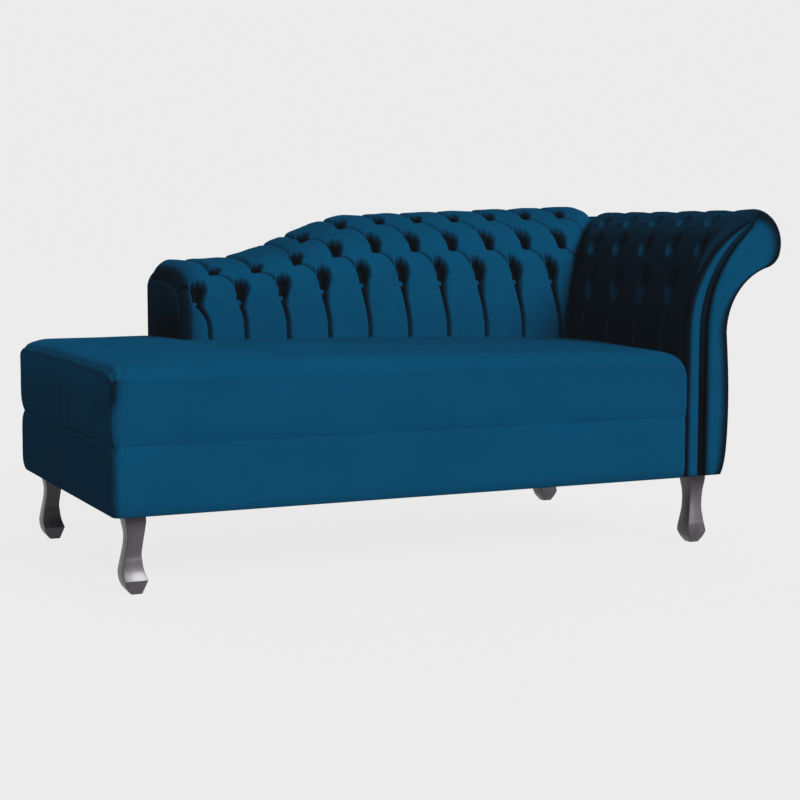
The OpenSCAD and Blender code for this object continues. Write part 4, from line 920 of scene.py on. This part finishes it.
a_end, b_end = kink(head_r, neck_r)
facing_y = -0.385
ys = np.concatenate([[facing_y, facing_y + 0.002, facing_y + 0.006], np.linspace(-0.375, 0.385, 190),
                     [0.392, spine_y - seam_gap]])
ends_in = 0.004 * np.clip(1 - np.minimum(ys - ys[0], ys[-1] - ys) / 0.006, 0, 1) ** 2
at_crest = np.full(len(ys), 4.0)
crest_edge = arm_place(ys, at_crest, arm_depth(ys, at_crest)[0])
top_circle = np.stack(np.broadcast_arrays(head_x, ys, head_z + head_r), -1)
roll_steps = 60
roll_turns, neck_turns = np.linspace(math.pi / 2, a_end, roll_steps), np.linspace(b_end, math.pi, 30)
outer = arc(head_x, head_z, head_r, roll_turns) + arc(roll_x, roll_z, neck_r, neck_turns)
ease = eased(outer, roll_steps - 1) - np.array(outer)
# Painted shade over the whole roll, a little more where it meets the crest and on the edge tucked under it
rows, shade = [crest_edge - np.array([0.012, 0, 0.02])], [np.full(len(ys), 0.6)]
for turn, (ease_x, ease_z) in zip(roll_turns, ease):
    r = head_r - ends_in - 0.0006 - 0.0006 * (1 + ripple(ys * 3, turn * 0.8, 4)) * math.sin(turn * 2) ** 2
    row = np.stack([head_x + r * math.cos(turn) + ease_x, ys, head_z + r * math.sin(turn) + ease_z], -1)
    meets = smooth(1 - (math.pi / 2 - turn) / 0.5)
    rows.append(row + (crest_edge - top_circle) * meets)
    shade.append(np.full(len(ys), 0.42 + 0.1 * meets))
scroll = velvet_sheet("scroll_roll", np.array(rows))
paint_shade(scroll, shade)
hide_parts("arm_roll_cover")


# Arm's outside: velvet pulled from the hollow of the neck down to the base over a firm lining, with
# slow waves where it is stapled under the foot.

path = [tuple(p) for p in (np.array(outer) + ease)[roll_steps:]]
path += [(side_x(t), base_z + (roll_z - base_z) * t) for t in side_levels_down(56)]
rows = []
for x, z in path:
    near_foot = smooth((0.30 - z) / 0.14)
    wave = 0.0009 * ripple(ys * 4, z * 1.5, 6) + 0.0008 * near_foot * np.sin(ys * 70)
    rows.append(np.stack(np.broadcast_arrays(x - 0.0008 - np.abs(wave) - ends_in * 0.5, ys, z), -1))
outside = velvet_sheet("arm_outside_panel", np.array(rows))
# Painted shade: the whole outer side is a little darker
paint_shade(outside, np.full((len(rows), len(ys)), 0.15))
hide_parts("arm_outside_cover")


# Front of the arm: velvet stretched over the board, with a slim padded band along the inner edge and
# a padded facing beside it. Both climb together and meet in a point under the crest.

inner_edge = [(roll_x - (roll_r + lift_at(t)) * math.cos(t), roll_z + (roll_r + lift_at(t)) * math.sin(t))
              for t in np.linspace(0, crest_a, 50)]
# Painted shade: the board's velvet, seen in the groove and at the rim, is painted near black, a little less
# near the top
flat_panel("arm_front_panel", [(arm_face_x, base_z)] + inner_edge + head_side(0, base_z)[1:],
           facing_y, arm_front_y, 0.002, "arm_front_cover", lambda z: 1.0 - 0.25 * smooth((z - 0.56) / 0.12))
eye = (head_x, roll_z + crest.length * 0.87)
eye_fold = 0.020
band_w, groove_w, rim_w = 0.039, 0.019, 0.005
line_steps = 40
# Where each cross line of a strip stands, from the foot up
line_at = np.arange(3 * line_steps + 1)[:, None]


def levels_up(n):
    """Shares of the height up the arm's front to its roll, closer together at the foot."""
    return [(i / n) ** 1.4 for i in range(n + 1)]


def scroll_line(inset, end, n):
    """A line that climbs straight to the start of the roll and then curls over to its end."""
    x0 = arm_face_x + inset
    dx, dz = end[0] - x0, end[1] - roll_z
    r = (dx * dx + dz * dz) / (2 * dx)
    turn = math.asin(dz / r)
    line = [(x0, base_z + (roll_z - base_z) * t) for t in levels_up(n)[:-1]]
    curl = [turn * i / (2 * n) for i in range(2 * n + 1)]
    return np.array(line + [(x0 + r - r * math.cos(t), roll_z + r * math.sin(t)) for t in curl])


def rolled(distance, radius):
    """Share of its full height that a stuffed edge has reached at a distance from its seam."""
    q = 1 - np.clip(distance / radius, 0, 1)
    return np.sqrt(np.maximum(0, 1 - q * q))


def domed_strip(name, inner, outer, rise, inner_r, outer_r, end_r, dark, seed, replaced):
    """A stuffed strip between two lines on the arm's front, rolled over towards each edge and end.

    Painted shade darkens both edges, over the two widths given in dark, and the low ground between the domes."""
    across = (1 - np.cos(np.linspace(0, math.pi, 33))) / 2
    run = np.concatenate([[0], np.cumsum(np.linalg.norm(np.diff((inner + outer) / 2, axis=0), axis=1))])
    t, at = np.meshgrid(across, run)
    width = np.linalg.norm(outer - inner, axis=1)[:, None]
    flat = inner[:, None] + (outer - inner)[:, None] * t[..., None]
    dome = rolled(t * width, inner_r) * rolled((1 - t) * width, outer_r) \
        * rolled(at, 0.006) * rolled(run[-1] - at, end_r)
    wave = 1 - 0.05 * (1 + ripple(at * 6, t * 0.7, seed)) * dome
    y = facing_y - seam_gap - rise * dome * wave
    piece = velvet_sheet(name, np.stack([flat[..., 0], y, flat[..., 1]], -1), flip=True)
    inner_dark, outer_dark = (1 - smooth((gap / reach - 0.35) / 0.85)
                              for gap, reach in ((t * width, dark[0]), ((1 - t) * width, dark[1])))
    paint_shade(piece, np.maximum(np.maximum(inner_dark, outer_dark) * 0.93, 0.7 * (1 - dome)))
    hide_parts(replaced)


# Width of the painted shade along the band's inner edge, narrower higher up
band_dark = 0.014 - 0.006 * smooth((line_at - 60) / 50)
domed_strip("front_band", scroll_line(0, (eye[0] - eye_fold / 4, eye[1]), line_steps),
            scroll_line(band_w, (eye[0], eye[1] - eye_fold / 4), line_steps),
            rise=0.0144, inner_r=0.012, outer_r=0.012, end_r=0.05, dark=(band_dark, 0.004), seed=13,
            replaced="arm_front_band")


def facing_edge(n):
    """The facing's outer line: up the arm's side, under the scroll and over its head."""
    head, neck = head_r - rim_w, neck_r + rim_w
    a, b = kink(head, neck)
    side = [(side_x(t) - rim_w, base_z + (roll_z - base_z) * t) for t in levels_up(n)]
    under = arc(roll_x, roll_z, neck, np.linspace(math.pi, b, n + 1)[1:])
    over = arc(head_x, head_z, head, np.linspace(a, math.radians(80), n + 1)[1:])
    return eased(side + under + over, 2 * n)


# Width of the painted shade along the facing's outer rim, wider round the head
head_dark = 0.030 + 0.005 * smooth((line_at - 45) / 30)
domed_strip("front_facing",
            scroll_line(band_w + groove_w, (eye[0] - eye_fold / 2, eye[1] - eye_fold), line_steps),
            facing_edge(line_steps),
            rise=0.0146, inner_r=0.012, outer_r=0.026, end_r=0.03, dark=(0.003, head_dark), seed=17,
            replaced="arm_front_facing")


# Studio: a plain pale floor, a broad soft key from the front right and above, a weak fill from behind,
# and pale air all round.

floor_r, floor_sides = 30, 64
floor_edge = arc(0, 0, floor_r, np.linspace(0, 2 * math.pi, floor_sides + 1)[:-1])
floor_mesh = bpy.data.meshes.new("floor")
floor_mesh.from_pydata([(x, y, 0) for x, y in floor_edge], [], [list(range(floor_sides))])
floor = bpy.data.objects.new("floor", floor_mesh)
bpy.context.scene.collection.objects.link(floor)
paint = Finish("floor_paint")
floor_tone = paint.noise(0.8, 2)
floor_mesh.materials.append(paint.set(
    Base_Color=paint.ramp(floor_tone, [(0.3, (0.0115, 0.0115, 0.0115)), (0.7, (0.0125, 0.0125, 0.0125))]),
    Roughness=0.9, Specular_IOR_Level=0.0, Emission_Color=(0.805, 0.805, 0.805, 1), Emission_Strength=1.0))

air = bpy.data.worlds.new("air")
bpy.context.scene.world = air
air.use_nodes = True
glow = air.node_tree.nodes["Background"]
glow.inputs["Color"].default_value = (0.835, 0.835, 0.835, 1)
glow.inputs["Strength"].default_value = 1.0

lamps = (("key", 9.3, 0.5, (-0.33, 0.77, -0.56)),
         ("fill", 3.5, 0.9, (-0.10, -0.95, -0.30)))
for name, energy, angle, heading in lamps:
    lamp = bpy.data.lights.new(name, "SUN")
    lamp.energy = energy
    lamp.angle = angle
    light = bpy.data.objects.new(name, lamp)
    bpy.context.scene.collection.objects.link(light)
    light.rotation_euler = Vector(heading).to_track_quat("-Z", "Y").to_euler()

# The photograph's own viewpoint
lens = bpy.data.cameras.new("camera")
lens.sensor_width = 36.0
lens.lens = 75.5
lens.clip_end = 100.0
camera = bpy.data.objects.new("camera", lens)
bpy.context.scene.collection.objects.link(camera)
camera.location = (-1.6571, -3.5458, 0.7106)
yaw, pitch = math.radians(25.106), math.radians(5.616)
look = Vector((math.sin(yaw) * math.cos(pitch), math.cos(yaw) * math.cos(pitch), -math.sin(pitch)))
camera.rotation_euler = look.to_track_quat("-Z", "Y").to_euler()
bpy.context.scene.camera = camera
bpy.context.scene.view_settings.view_transform = "Standard"
